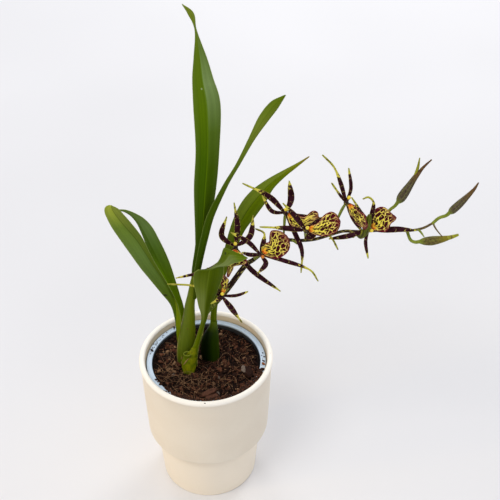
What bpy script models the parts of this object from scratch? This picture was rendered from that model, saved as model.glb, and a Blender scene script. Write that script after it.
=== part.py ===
"""Cambria orchid in flower in a stepped ceramic pot, as separate solids at real size.

Numbers are in millimetres and meshes are written in metres. +Z is up, the front is -Y, and the
origin is the middle of the pot's underside.
"""

import math
import random

import bmesh
import bpy
import numpy as np

MM = 0.001
GAP = 0.3  # clearance between two pieces that touch
SEAT = 0.6  # clearance under a leaf base, whose end is a little out of level

# Pot and nursery pot
POT_SIDES = 36
POT_HEIGHT = 168.5
RIM_RADIUS = 70.0
LIP_ROUND = 3.0
WALL_FOOT_RADIUS = 65.4
WALL_FOOT_HEIGHT = 73.8
STEP_HEIGHT = 68.2
BASE_TOP_RADIUS = 57.1
BASE_FOOT_RADIUS = 51.8
POT_WALL = 5.8
POT_FLOOR = 6.5
LEDGE_HEIGHT = 74.0

LINER_TOP = 160.5
LINER_LIP_RADIUS = 62.6
LINER_NECK_RADIUS = 58.5
LINER_NECK_HEIGHT = 153.0
LINER_TAPER = 0.0866
LINER_FLOOR = 50.5
LINER_WALL = 1.6
DRAIN_HOLES = 6

# Potting mix
MIX_HEIGHT = 151.0
MIX_MOUND = 2.5
MIX_RINGS = 8
MIX_ROUGHNESS = 1.3
CHIPS = 16
SEED = 7

# Flowers face forwards and up by this angle, and so does the plane their petals open in
FACE_TILT = math.radians(39)
FACE = np.array([0.0, -math.cos(FACE_TILT), math.sin(FACE_TILT)])
FACE_UP = np.array([0.0, math.sin(FACE_TILT), math.cos(FACE_TILT)])
RIGHT = np.array([1.0, 0.0, 0.0])
HEART_RADIUS = 2.6  # knob that the petals grow from
TEPAL_THICK = (1.1, 0.7)  # along the middle and at the edges

# Stems that stand in the mix: centre x, y, then half-widths a, b
SHEATH_FOOT = (-17.5, 4.0, 7.6, 6.0)
FRONT_BULB_FOOT = (-17.5, -8.2, 7.2, 5.1)
BACK_BULB_FOOT = (5.5, 8.8, 7.2, 5.6)
LEFT_FRONT_FOOT = (-28.3, 0.0, 2.5, 1.2)
LEFT_BACK_FOOT = (-24.5, 13.5, 2.5, 1.2)
SPIKE_FOOT = (-7.5, -2.0, 2.2, 2.2)
FOOT_DEPTH = 136.0
SHEATH_TOP = 250.0
FRONT_BULB_TOP = 176.0
BACK_BULB_TOP = 200.0

# Leaves: x, y, z along the midrib, width there, compass heading of the blade's width
LEAVES = {
    "leaf_tall": dict(
        fold=(0.5, 0.12),
        stations=[
            (-10.6, 4.4, SHEATH_TOP + SEAT, 5.5, 0),
            (-7.5, 4.5, 278, 7.5, 0),
            (-3, 5, 304, 9, 0),
            (-0.5, 5.5, 318, 12, 2),
            (4.5, 7, 372, 20.5, 5),
            (8, 8, 416, 21.5, 5),
            (8.5, 9, 460, 24, 2),
            (5.5, 9, 487, 18.5, -4),
            (4, 9, 507, 12, -10),
            (1.3, 8, 534, 1.8, -14),
            (-2, 6, 549.5, 4, -6),
            (-8.5, 4, 559, 1.2, 0),
        ],
    ),
    "leaf_right": dict(
        fold=(0.5, 0.3),
        stations=[
            (-9.8, -0.4, SHEATH_TOP + SEAT + 0.2, 4.6, 0),
            (-6.5, -0.5, 274, 6, 0),
            (-1.8, -1, 301, 6.7, 0),
            (3, -1, 324, 7.1, 0),
            (9.5, -1, 350, 6.8, 0),
            (23.5, 0, 383.5, 4.4, 0),
            (35, 1, 406, 3.8, 0),
            (47, 3, 431, 5.4, 0),
            (57.5, 4, 451, 9.4, 0),
            (66.5, 5.5, 464, 9, 0),
            (73.5, 7, 471, 3.5, 0),
            (76.5, 8, 473.5, 1.2, 0),
        ],
    ),
    "leaf_left_front": dict(
        fold=(0.25, 0.2),
        stations=[
            (-28.3, 0, FOOT_DEPTH, 5, 0),
            (-28.3, 0, 160, 5, 0),
            (-27.6, -1, 185, 5.4, 0),
            (-27.3, -3.5, 210, 7, 0),
            (-29.5, -5, 235, 12, 0),
            (-38.5, -7, 268, 20.5, 0),
            (-48.5, -8, 293, 22.5, 0),
            (-63, -10, 320.5, 23, 0),
            (-74, -11.5, 342.5, 19.5, 0),
            (-81, -13, 360, 13.5, 0),
            (-83, -14, 368.5, 7, 0),
            (-84, -15, 372, 1.6, 0),
        ],
    ),
    "leaf_left_back": dict(
        fold=(0.25, 0.35),
        stations=[
            (-24.5, 13.5, FOOT_DEPTH, 5, 0),
            (-24.5, 13.5, 160, 5, 0),
            (-24, 13, 192, 6, 0),
            (-28.5, 13, 219.5, 8.5, 0),
            (-35.3, 13, 242.5, 11, 0),
            (-41, 13.5, 265, 14.5, 0),
            (-46, 13.5, 289, 15.5, 0),
            (-51.5, 13, 309.5, 13, 0),
            (-57, 12.5, 327, 9.5, 0),
            (-62.5, 12, 337.5, 6.5, 0),
            (-70, 11.5, 345.2, 4.4, 0),
            (-79, 11, 348.2, 1.4, 0),
        ],
    ),
    "leaf_back": dict(
        fold=(0.5, 0.12),
        stations=[
            (8, 8.8, BACK_BULB_TOP + SEAT, 4.8, 0),
            (10, 10, 229, 5.4, 0),
            (18, 17, 264, 7.5, -5),
            (26, 23, 290, 11.5, -10),
            (33.5, 29, 312, 14.5, -12),
            (43, 35, 329, 19, -15),
            (53.5, 39, 343, 18, -15),
            (64, 42, 355, 11.5, -15),
            (76, 44, 365, 7, -12),
            (90.5, 45.5, 375.8, 3.4, -8),
            (102, 47, 384.5, 1.2, 0),
        ],
    ),
}

# The bent leaf rises, then folds over to the right: its left and right edges, point by point
BENT_LEFT = [
    (-14.2, -8.0, FRONT_BULB_TOP + SEAT + 0.3),
    (-7.2, -9, 204),
    (-3, -11, 231),
    (-6, -17, 265),
    (-8, -21, 287),
    (-4.5, -22, 300),
    (3, -20, 303),
    (10.5, -16, 306),
    (18.5, -10, 316),
    (32, -13, 318.5),
    (44, -21, 316.5),
]
BENT_RIGHT = [
    (-9.9, -8.0, FRONT_BULB_TOP + SEAT + 0.3),
    (-2.6, -9, 206),
    (2.2, -11, 230),
    (14, -17, 263),
    (19, -20, 285),
    (21, -23, 302),
    (23, -25, 306),
    (25.5, -26, 308),
    (29, -26, 309.5),
    (35, -26, 311.5),
    (44.5, -22, 315),
]

# Flower stalk: x, y, z, radius
RACHIS = [
    (-7.5, -2, FOOT_DEPTH, 2.2),
    (-7.5, -2, 158, 2.2),
    (-6.5, -2.5, 177, 2.2),
    (-4.5, -2, 199, 2.2),
    (-1.5, -2, 217, 2.1),
    (3, -2, 230, 2.1),
    (13, 0, 243, 2.1),
    (25, 3, 259, 2.0),
    (41, 5, 285, 2.0),
    (49, 8, 290, 1.9),
    (58, 11, 296, 1.8),
    (67, 12, 304, 1.8),
    (78, 10, 313, 1.8),
    (93, 8, 314, 1.7),
    (107, 6, 317, 1.6),
    (120, 6, 321.5, 1.5),
    (134, 7, 326, 1.5),
    (149, 8, 325, 1.5),
    (165, 8, 326, 1.4),
    (181, 8, 327, 1.3),
    (196, 6, 327.5, 1.3),
    (209, 4, 332, 1.2),
    (218, 2, 340, 1.1),
]

# Blooms. Each tepal gives the points it passes and ends at, from the flower's centre, and its
# width. The lip gives its angle in the flower's plane, length, width and roll. The column gives
# where its cap lies from the centre. The root is where the pedicel leaves the flower stalk.
BLOOMS = [
    dict(
        centre=(18, -11, 260),
        root=(25, 3, 259),
        tepals=[
            ([(14, -3, 3), (26, -4, 9)], 3.0),
            ([(8, -4, -10), (20, -2, -34)], 5.4),
            ([(-3, -11, 5), (-10, -15, 3)], 4.4),
            ([(-25, 4, 9), (-52, -2, 17)], 3.4),
            ([(-7, 3, 14), (-13, 2, 34)], 4.4),
        ],
        lip=(62, 18, 14, 50),
        column=(3, -5, 7),
    ),
    dict(
        centre=(32, 2, 311),
        root=(42, 5.3, 286),
        tepals=[
            ([(-13, 2, 12), (-8, 4, 33)], 5.2),
            ([(2, 6, 21), (-1, 10, 45)], 5.4),
            ([(14, 3, 11), (17, 6, 33)], 5.6),
            ([(15, -4, -25), (44, -4, -53)], 4.8),
            ([(-23, -5, -17), (-58, -11, -30)], 3.6),
        ],
        lip=(-95, 27, 20, -10),
        column=(0, -5, 8),
    ),
    dict(
        centre=(56, -6, 308),
        root=(49.5, 8.2, 290.4),
        tepals=[
            ([(-12, -2, 17), (-28, -4, 30)], 4.4),
            ([(3, 6, 12), (3, 8, 20), (-5, 8, 25)], 5.0),
            ([(5, -4, -8), (-2, -2, -21)], 4.8),
            ([(23, -2, -6), (47, -2, -17), (56, -4, -30)], 4.0),
            ([(-10, 1, -1), (-18, 2, 1)], 4.0),
        ],
        lip=(21, 26, 25, 0),
        column=(2, -7, 3),
    ),
    dict(
        centre=(79, 4, 350),
        root=(78, 10, 313),
        tepals=[
            ([(-16, 2, 18), (-40, 4, 31)], 5.2),
            ([(-13, -2, 4), (-22, -1, 21)], 3.8),
            ([(5, 4, 13), (3, 8, 31)], 6.0),
            ([(10, -5, -22), (16.5, -8, -40), (16.5, -6, -68)], 4.6),
            ([(14, 5, -8), (35, 8, -12)], 5.0),
        ],
        lip=(-18, 29, 17, 10),
        column=(0, -5, 8),
    ),
    dict(
        centre=(97.8, -10, 340),
        root=(99, 7.2, 315),
        tepals=[
            ([(-10, -1, 17), (-22, -2, 33)], 5.2),
            ([(-18, 1, 2), (-43, 3, 2)], 5.0),
            ([(4, 0, -6), (9, 2, -12)], 5.2),
            ([(12, 5, -4.5), (24.5, 7, -13.5), (31.5, 2, -24.5)], 4.0),
            ([(10, 7, 5), (16.5, 11, 7.7)], 4.0),
        ],
        lip=(14, 30, 25, 0),
        column=(1, -6, 8),
    ),
    dict(
        centre=(135, 4, 362),
        root=(122, 6, 322),
        tepals=[
            ([(-6, 3, 20), (-13, 4, 37), (-24, 4, 50)], 4.8),
            ([(-7, -2, 11), (-15, -4, 25)], 2.8),
            ([(4, 5, 13), (1, 8, 33)], 3.2),
            ([(12, 8, -14), (24, 13, -30)], 4.2),
            ([(8, -2, -19), (13, -4, -32)], 3.8),
        ],
        lip=(-60, 31, 20, 60),
        column=(2, -3, 8),
    ),
    dict(
        centre=(157, -3, 336),
        root=(151, 8, 325),
        tepals=[
            ([(-8, -5, 21), (-19, -7, 42)], 2.8),
            ([(1, 6, 19), (1, 7, 30), (-6, 7, 30)], 4.2),
            ([(-18, -2, -6), (-37, -3, -9)], 4.8),
            ([(0, -3, -13), (1, -5, -31)], 3.2),
            ([(16, 4, -5.5), (30, 3, -5.5), (45, -1, -4.5)], 4.6),
        ],
        lip=(30, 25, 22, 0),
        column=(2, -7, 4),
    ),
]

# Buds: the stalk's root and middle, then the body's points with radii, then its beaks
BUDS = [
    dict(
        stalk=[(174, 8, 326.5), (176, 13, 343)],
        body=[
            (184, 13, 355, 1.5),
            (186.5, 13, 359.5, 3.9),
            (189.5, 13, 366, 4.2),
            (194.5, 13, 377, 2.9),
            (198, 13, 384.5, 1.7),
        ],
        beaks=[
            [(197.5, 13, 383.5, 1.3), (199.5, 14, 394, 0.9), (200, 14.5, 404.5, 0.4)],
            [(197.5, 13, 383.5, 1.6), (202.5, 12, 394.5, 1.1), (210.3, 11, 405, 0.5)],
        ],
    ),
    dict(
        stalk=[(218, 2, 340), (224, 1, 350)],
        body=[(232.5, 0, 355.5, 1.4), (236, 0, 358.5, 2.7), (240, 0, 364, 2.9), (245.5, -0.5, 372.5, 1.7)],
        beaks=[[(244.5, -0.4, 371, 1.6), (249, -1, 379, 1.1), (253, -1, 388, 0.5)]],
    ),
    dict(
        stalk=[(195, 6, 327.5), (198, 1, 321)],
        body=[
            (206, -2, 320.5, 1.5),
            (211, -2.4, 321.5, 3.2),
            (218, -2.8, 322.5, 3.9),
            (226, -3, 324, 2.9),
            (231, -3.2, 325.5, 1.9),
        ],
        beaks=[[(229.5, -3.1, 325, 1.8), (236, -3.6, 327.5, 1.2), (242, -4, 330.5, 0.5)]],
    ),
]

# Bracts and a dried thread on the flower stalk: points with radii
BRACTS = [
    [(86, 9, 313.5, 1.4), (88, 5.5, 315, 1.1), (91, 3.5, 313, 0.5)],
    [(205, 4.6, 330.5, 1.2), (208, 1, 328.5, 1.0), (210.5, -2, 326, 0.5)],
    [(218, 2, 339, 1.0), (221, 0, 334, 0.8), (227, -4, 328, 0.5)],
    [(143, 7.6, 325.3, 1.6), (144, 3.5, 323, 1.8), (142.5, 0.5, 324.5, 0.6)],
]

COLOURS = {
    "pot": ((0.86, 0.79, 0.68), 0.55),
    "liner": ((0.50, 0.60, 0.70), 0.45),
    "mix": ((0.055, 0.03, 0.02), 0.95),
    "leaf": ((0.06, 0.16, 0.015), 0.4),
    "sheath": ((0.13, 0.22, 0.03), 0.45),
    "bulb": ((0.04, 0.11, 0.012), 0.4),
    "stalk": ((0.10, 0.12, 0.03), 0.5),
    "tepal": ((0.035, 0.01, 0.015), 0.5),
    "lip": ((0.75, 0.60, 0.08), 0.5),
    "column": ((0.80, 0.62, 0.05), 0.5),
    "bud": ((0.12, 0.13, 0.05), 0.5),
}


def clear_scene():
    for thing in list(bpy.data.objects):
        bpy.data.objects.remove(thing, do_unlink=True)


def material(name):
    colour, roughness = COLOURS[name]
    found = bpy.data.materials.get(name)
    if found:
        return found
    made = bpy.data.materials.new(name)
    made.use_nodes = True
    shader = made.node_tree.nodes["Principled BSDF"]
    shader.inputs["Base Color"].default_value = (*colour, 1.0)
    shader.inputs["Roughness"].default_value = roughness
    return made


def solid(name, shape, colour):
    """A mesh object from points in millimetres, with its faces turned outwards."""
    points, faces = shape
    mesh = bpy.data.meshes.new(name)
    mesh.from_pydata([tuple(float(c) * MM for c in point) for point in points], [], faces)
    shell = bmesh.new()
    shell.from_mesh(mesh)
    bmesh.ops.recalc_face_normals(shell, faces=shell.faces)
    shell.to_mesh(mesh)
    shell.free()
    mesh.materials.append(material(colour))
    mesh.shade_smooth()
    mesh.set_sharp_from_angle(angle=math.radians(50))
    made = bpy.data.objects.new(name, mesh)
    bpy.context.scene.collection.objects.link(made)
    return made


def combine(target, shapes, operation):
    """Joins shapes to the target, or cuts them from it, and leaves one plain mesh."""
    group = bpy.data.collections.new(target.name + "_tools")
    bpy.context.scene.collection.children.link(group)
    for number, shape in enumerate(shapes):
        tool = solid(f"{target.name}_tool_{number}", shape, "stalk")
        bpy.context.scene.collection.objects.unlink(tool)
        group.objects.link(tool)
        tool.hide_render = True
        tool.display_type = "WIRE"
    join = target.modifiers.new("Combine", "BOOLEAN")
    join.operation = operation
    join.operand_type = "COLLECTION"
    join.collection = group
    graph = bpy.context.evaluated_depsgraph_get()
    result = bpy.data.meshes.new_from_object(target.evaluated_get(graph))
    target.modifiers.clear()
    own = target.data.materials[0]
    target.data = result
    result.materials.clear()
    result.materials.append(own)
    for tool in list(group.objects):
        bpy.data.objects.remove(tool, do_unlink=True)
    bpy.data.collections.remove(group)


def fused(name, shapes, colour):
    """One solid from shapes that overlap."""
    made = solid(name, shapes[0], colour)
    combine(made, shapes[1:], "UNION")
    return made


def unit(vector):
    return vector / np.linalg.norm(vector)


def smooth(controls, steps):
    """A Catmull-Rom curve through the control rows, with this many steps to a span."""
    rows = np.array(controls, float)
    rows = np.vstack([2 * rows[0] - rows[1], rows, 2 * rows[-1] - rows[-2]])
    made = []
    for a, b, c, d in zip(rows, rows[1:], rows[2:], rows[3:]):
        for t in np.arange(steps) / steps:
            made.append(
                b
                + 0.5 * (c - a) * t
                + (a - 2.5 * b + 2 * c - 0.5 * d) * t**2
                + 0.5 * (3 * b - a - 3 * c + d) * t**3
            )
    made.append(rows[-2])
    return np.array(made)


def directions(path):
    """Unit direction of travel at each point of a path."""
    slopes = np.gradient(path, axis=0)
    return slopes / np.linalg.norm(slopes, axis=1, keepdims=True)


def skin(rings):
    """Closed faces over rings of equal count, with a flat cap at each end."""
    count = len(rings[0])
    points = [tuple(point) for ring in rings for point in ring]
    faces = [tuple(range(count)), tuple(len(points) - count + k for k in range(count))]
    for start in range(0, len(points) - count, count):
        for k in range(count):
            nxt = (k + 1) % count
            faces.append((start + k, start + nxt, start + count + nxt, start + count + k))
    return points, faces


def lathe(profile, sides):
    """A profile of radius and height turned about Z; a radius of 0 closes an end."""
    points = []
    rings = []
    for radius, height in profile:
        count = sides if radius > 0 else 1
        rings.append((len(points), count))
        for k in range(count):
            angle = 2 * math.pi * k / sides
            points.append((radius * math.cos(angle), radius * math.sin(angle), height))
    faces = []
    for (low, low_count), (high, high_count) in zip(rings, rings[1:]):
        for k in range(sides):
            corners = (
                low + k % low_count,
                low + (k + 1) % low_count,
                high + (k + 1) % high_count,
                high + k % high_count,
            )
            faces.append(tuple(dict.fromkeys(corners)))
    return points, faces


def oval_loft(sections, sides):
    """Level ovals at x, y, z with half-widths a, b, skinned upwards."""
    angles = 2 * np.pi * np.arange(sides) / sides
    rings = []
    for x, y, z, a, b in sections:
        rings.append([(x + a * math.cos(t), y + b * math.sin(t), z) for t in angles])
    return skin(rings)


def tube(stations, sides, steps=1):
    """A round stem through x, y, z, radius stations."""
    rows = smooth(stations, steps)
    path = rows[:, :3]
    heading = directions(path)
    side = unit(np.cross(heading[0], FACE + 0.3 * RIGHT))
    rings = []
    for point, forward, radius in zip(path, heading, rows[:, 3]):
        side = unit(side - forward * side.dot(forward))
        other = np.cross(forward, side)
        turn = 2 * np.pi * np.arange(sides) / sides
        rings.append([point + radius * (math.cos(t) * side + math.sin(t) * other) for t in turn])
    return skin(rings)


def sheet(upper, lower, row):
    """Closed faces over two grids of points, split alike on both sides, so the sides never cross."""
    under = len(upper)
    faces = []
    for start in range(0, under - row, row):
        for a in range(start, start + row - 1):
            b, c, d = a + 1, a + row + 1, a + row
            faces += [(a, b, c), (a, c, d)]
            faces += [(under + c, under + b, under + a), (under + d, under + c, under + a)]
        for rim in (start, start + row - 1):
            faces.append((rim, rim + row, under + rim + row, under + rim))
    for end in (0, under - row):
        for k in range(end, end + row - 1):
            faces.append((k, k + 1, under + k + 1, under + k))
    return upper + lower, faces


def blade(path, halves, folds, thick, lanes):
    """A thin leaf: a path, the half-width vector at each point, the V fold and the thickness."""
    heading = directions(path)
    spread = np.linspace(-1, 1, lanes + 1)
    middle, edge = thick
    upper = []
    lower = []
    for point, forward, half, fold in zip(path, heading, halves, folds):
        half = half - forward * half.dot(forward)
        normal = unit(np.cross(forward, half))
        reach = np.linalg.norm(half)
        for lane in spread:
            place = point + half * lane + normal * (abs(lane) * fold * reach)
            depth = 0.5 * (middle + (edge - middle) * abs(lane))
            upper.append(place + normal * depth)
            lower.append(place - normal * depth)
    return sheet(upper, lower, len(spread))


def leaf_shape(stations, fold):
    rows = smooth(stations, 2)
    path = rows[:, :3]
    angles = np.radians(rows[:, 4])
    level = np.stack([np.cos(angles), np.sin(angles), 0 * angles], axis=1)
    heading = directions(path)
    side = level - heading * np.sum(level * heading, axis=1, keepdims=True)
    side /= np.linalg.norm(side, axis=1, keepdims=True)
    halves = side * rows[:, 3:4] / 2
    folds = np.linspace(*fold, len(path))
    return blade(path, halves, folds, (1.5, 0.7), 4)


def bent_leaf_shape():
    left = smooth(BENT_LEFT, 2)
    right = smooth(BENT_RIGHT, 2)
    folds = np.linspace(0.4, 0.05, len(left))
    return blade((left + right) / 2, (right - left) / 2, folds, (1.4, 0.7), 4)


def tepal_shape(centre, points, width):
    """A petal that starts inside the flower's heart, swells, and runs out to a thin tail."""
    start = np.array(centre, float) + unit(np.array(points[0], float)) * 0.8
    path = smooth([start] + [np.array(centre) + np.array(point) for point in points], 6 // len(points))
    along = np.linspace(0, 1, len(path))
    swell = np.sin(np.pi * np.clip(along / 0.84, 0, 1)) ** 0.8
    wide = 1.0 + (width - 1.0) * swell * (1 - 0.25 * along)
    wide[0] = 2.0
    side = np.cross(directions(path), FACE)
    side /= np.linalg.norm(side, axis=1, keepdims=True)
    return blade(path, side * wide[:, None] / 2, np.full(len(path), 0.22), TEPAL_THICK, 2)


def heart_shape(centre):
    """The round knob at a flower's centre."""
    angles = np.radians([-70, -35, 0, 35, 70])
    rows = [(*(np.array(centre) + FACE * HEART_RADIUS * math.sin(t)), HEART_RADIUS * math.cos(t)) for t in angles]
    return tube(rows, 8)


def lip_shape(centre, angle, length, width, roll):
    """A broad waved lip: narrow claw, side lobes, slight waist and a round end that turns back."""
    turn = math.radians(angle)
    out = math.cos(turn) * RIGHT + math.sin(turn) * FACE_UP
    across = np.cross(FACE, out)
    tilt = math.radians(roll)
    across, top = (
        math.cos(tilt) * across + math.sin(tilt) * FACE,
        math.cos(tilt) * FACE - math.sin(tilt) * across,
    )
    start = np.array(centre) + unit(0.45 * FACE + out) * (HEART_RADIUS + GAP + 0.3)
    steps = np.array([0.0, 0.12, 0.25, 0.38, 0.52, 0.66, 0.8, 0.91, 1.0])
    outline = np.array([0.12, 0.34, 0.62, 0.70, 0.88, 1.0, 0.94, 0.66, 0.16])
    rise = 2.6 * np.sin(np.pi * steps) - 3.5 * steps**3
    upper = []
    lower = []
    lanes = np.linspace(-1, 1, 7)
    for row, (t, half, lift) in enumerate(zip(steps, outline * width / 2, rise)):
        for lane in lanes:
            wave = 0.9 * lane**2 * math.sin(2.4 * row) * (half / 10) - 0.16 * lane**2 * half
            callus = 1.4 * math.exp(-((t - 0.14) / 0.07) ** 2 - (lane / 0.6) ** 2)
            place = start + out * t * length + across * lane * half + top * (lift + wave)
            upper.append(place + top * (0.45 + callus))
            lower.append(place - top * 0.45)
    return sheet(upper, lower, len(lanes))


def column_shape(centre, cap):
    """The short column over the lip, with the swollen cap at its end."""
    reach = np.array(cap, float)
    length = np.linalg.norm(reach)
    heading = reach / length
    first = HEART_RADIUS + GAP + 0.1
    waist = first + 0.4 * (length - first)
    marks = [(first, 1.2), (waist, 1.3), (length - 1.6, 1.7), (length, 2.0), (length + 1.5, 1.0)]
    rows = [(*(np.array(centre) + heading * along), radius) for along, radius in marks]
    return tube(rows, 7)


def pedicel_shape(centre, root):
    """The flower's own stalk, from the flower stalk to just behind the flower's heart."""
    centre = np.array(centre, float)
    root = np.array(root, float)
    back = unit(0.7 * unit(root - centre) - 0.7 * FACE)
    end = centre + back * (HEART_RADIUS + GAP + 0.05)
    knee = centre + back * (HEART_RADIUS + 0.35 * np.linalg.norm(root - centre))
    rows = [(*root, 1.1), (*(0.5 * (root + knee)), 1.1), (*knee, 1.3), (*end, 1.2)]
    return tube(rows, 6)


def bud_stalk_shape(stalk, body):
    base = np.array(body[0][:3], float)
    heading = unit(np.array(body[1][:3]) - base)
    rows = [(*point, 1.1) for point in stalk]
    rows += [(*(base - heading * 4), 1.2), (*(base - heading * (GAP + 0.1)), 1.3)]
    return tube(rows, 6, 2)


def pot_profile():
    lip_centre = RIM_RADIUS - LIP_ROUND
    lip_height = POT_HEIGHT - LIP_ROUND
    outside = [
        (0, 0),
        (BASE_FOOT_RADIUS - 1.2, 0),
        (BASE_FOOT_RADIUS, 1.6),
        (BASE_TOP_RADIUS, STEP_HEIGHT - 0.6),
        (BASE_TOP_RADIUS + 0.8, STEP_HEIGHT),
        (62.2, STEP_HEIGHT + 0.7),
        (64.6, 70.6),
        (WALL_FOOT_RADIUS, WALL_FOOT_HEIGHT),
        (67.6, 118),
    ]
    lip = []
    for degrees in range(0, 181, 30):
        angle = math.radians(degrees)
        lip.append((lip_centre + LIP_ROUND * math.cos(angle), lip_height + LIP_ROUND * math.sin(angle)))
    ledge_edge = liner_radius(LEDGE_HEIGHT) + GAP
    inside = [
        (RIM_RADIUS - POT_WALL - 0.6, 158),
        (WALL_FOOT_RADIUS - POT_WALL, LEDGE_HEIGHT + 4),
        (WALL_FOOT_RADIUS - POT_WALL - 1.6, LEDGE_HEIGHT + 0.8),
        (WALL_FOOT_RADIUS - POT_WALL - 4, LEDGE_HEIGHT),
        (ledge_edge, LEDGE_HEIGHT),
        (ledge_edge, LEDGE_HEIGHT - 3),
        (BASE_FOOT_RADIUS - POT_WALL, POT_FLOOR + 3),
        (BASE_FOOT_RADIUS - POT_WALL - 2.5, POT_FLOOR),
        (0, POT_FLOOR),
    ]
    return outside + lip + inside


def liner_radius(height):
    """Outer radius of the nursery pot's tapered wall."""
    return LINER_NECK_RADIUS - (LINER_NECK_HEIGHT - height) * LINER_TAPER


def liner_profile():
    inner_top = LINER_NECK_RADIUS - LINER_WALL
    return [
        (0, LINER_FLOOR),
        (liner_radius(LINER_FLOOR) - 1.0, LINER_FLOOR),
        (liner_radius(LINER_FLOOR + 1), LINER_FLOOR + 1),
        (LINER_NECK_RADIUS, LINER_NECK_HEIGHT),
        (LINER_NECK_RADIUS + 0.2, LINER_TOP - LINER_WALL),
        (LINER_LIP_RADIUS - 1.3, LINER_TOP - LINER_WALL),
        (LINER_LIP_RADIUS - 1.3, LINER_TOP - 6.5),
        (LINER_LIP_RADIUS, LINER_TOP - 6.5),
        (LINER_LIP_RADIUS, LINER_TOP - 0.6),
        (LINER_LIP_RADIUS - 0.6, LINER_TOP),
        (inner_top + 0.6, LINER_TOP),
        (inner_top, LINER_TOP - 0.7),
        (inner_top, LINER_NECK_HEIGHT),
        (liner_radius(LINER_FLOOR) - LINER_WALL, LINER_FLOOR + LINER_WALL),
        (0, LINER_FLOOR + LINER_WALL),
    ]


def post(x, y, low, high, a, b, sides=10):
    """An upright oval prism."""
    return oval_loft([(x, y, low, a, b), (x, y, high, a, b)], sides)


def make_pots():
    solid("outer_pot", lathe(pot_profile(), POT_SIDES), "pot")
    liner = solid("nursery_pot", lathe(liner_profile(), POT_SIDES), "liner")
    holes = []
    for number in range(DRAIN_HOLES):
        angle = 2 * math.pi * (number + 0.5) / DRAIN_HOLES
        holes.append(post(33 * math.cos(angle), 33 * math.sin(angle), LINER_FLOOR - 2, LINER_FLOOR + 4, 4.5, 4.5, 8))
    combine(liner, holes, "DIFFERENCE")


def mix_height(x, y, draw):
    """The mix is mounded a little, lower at the right, and rough."""
    mound = MIX_MOUND * math.cos(math.pi / 2 * min(1, math.hypot(x, y) / 58))
    return MIX_HEIGHT + mound - 0.02 * x + draw.uniform(-MIX_ROUGHNESS, MIX_ROUGHNESS)


def mix_shape(draw):
    wall = LINER_NECK_RADIUS - LINER_WALL - GAP
    floor = LINER_FLOOR + LINER_WALL + GAP
    foot = liner_radius(LINER_FLOOR) - LINER_WALL - GAP
    points, faces = lathe(
        [(0, floor), (foot, floor), (liner_radius(147) - LINER_WALL - GAP, 147)]
        + [(wall * (1 - ring / MIX_RINGS) - 0.3, MIX_HEIGHT) for ring in range(MIX_RINGS)]
        + [(0, MIX_HEIGHT)],
        POT_SIDES,
    )
    top = 1 + 2 * POT_SIDES
    for index in range(top, len(points)):
        x, y, _ = points[index]
        points[index] = (x, y, mix_height(x, y, draw))
    return points, faces


def chip_shape(x, y, z, size, draw):
    """A split piece of bark: a squashed, tilted box with uneven corners."""
    turn = draw.uniform(0, math.pi)
    lean = draw.uniform(-0.35, 0.35)
    points = []
    for u, v, w in [(a, b, c) for c in (-1, 1) for a, b in ((-1, -1), (1, -1), (1, 1), (-1, 1))]:
        along = size * u * draw.uniform(0.8, 1.1)
        over = size * 0.6 * v * draw.uniform(0.8, 1.1)
        up = size * 0.38 * w + along * lean
        points.append((
            x + along * math.cos(turn) - over * math.sin(turn),
            y + along * math.sin(turn) + over * math.cos(turn),
            z + up,
        ))
    faces = [(0, 1, 2, 3), (7, 6, 5, 4), (0, 4, 5, 1), (1, 5, 6, 2), (2, 6, 7, 3), (3, 7, 4, 0)]
    return points, faces


def clear_of_stems(x, y, margin):
    feet = (SHEATH_FOOT, FRONT_BULB_FOOT, BACK_BULB_FOOT, LEFT_FRONT_FOOT, LEFT_BACK_FOOT, SPIKE_FOOT)
    return all(math.hypot(x - foot[0], y - foot[1]) > foot[2] + margin for foot in feet)


def chip_shapes(draw):
    """The two chunks that stand out, then smaller bark strewn clear of the stems."""
    chips = [chip_shape(44, -13, 152, 6.0, draw), chip_shape(3, -40, 151.5, 7.0, draw)]
    while len(chips) < CHIPS:
        radius = 49 * math.sqrt(draw.random())
        angle = draw.uniform(0, 2 * math.pi)
        size = draw.uniform(2.4, 4.6)
        x, y = radius * math.cos(angle), radius * math.sin(angle)
        if clear_of_stems(x, y, size + 2.5):
            chips.append(chip_shape(x, y, 151.5 - 0.02 * x, size, draw))
    return chips


def make_mix():
    draw = random.Random(SEED)
    mix = solid("substrate", mix_shape(draw), "mix")
    combine(mix, chip_shapes(draw), "UNION")
    holes = []
    for foot in (SHEATH_FOOT, FRONT_BULB_FOOT, BACK_BULB_FOOT, SPIKE_FOOT):
        x, y, a, b = foot
        holes.append(post(x, y, FOOT_DEPTH - GAP, 170, a + GAP + 0.1, b + GAP + 0.1, 12))
    for foot in (LEFT_FRONT_FOOT, LEFT_BACK_FOOT):
        x, y, a, b = foot
        holes.append(post(x, y + 0.8, FOOT_DEPTH - GAP, 170, a + 0.8, b + 1.4, 12))
    combine(mix, holes, "DIFFERENCE")


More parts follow.
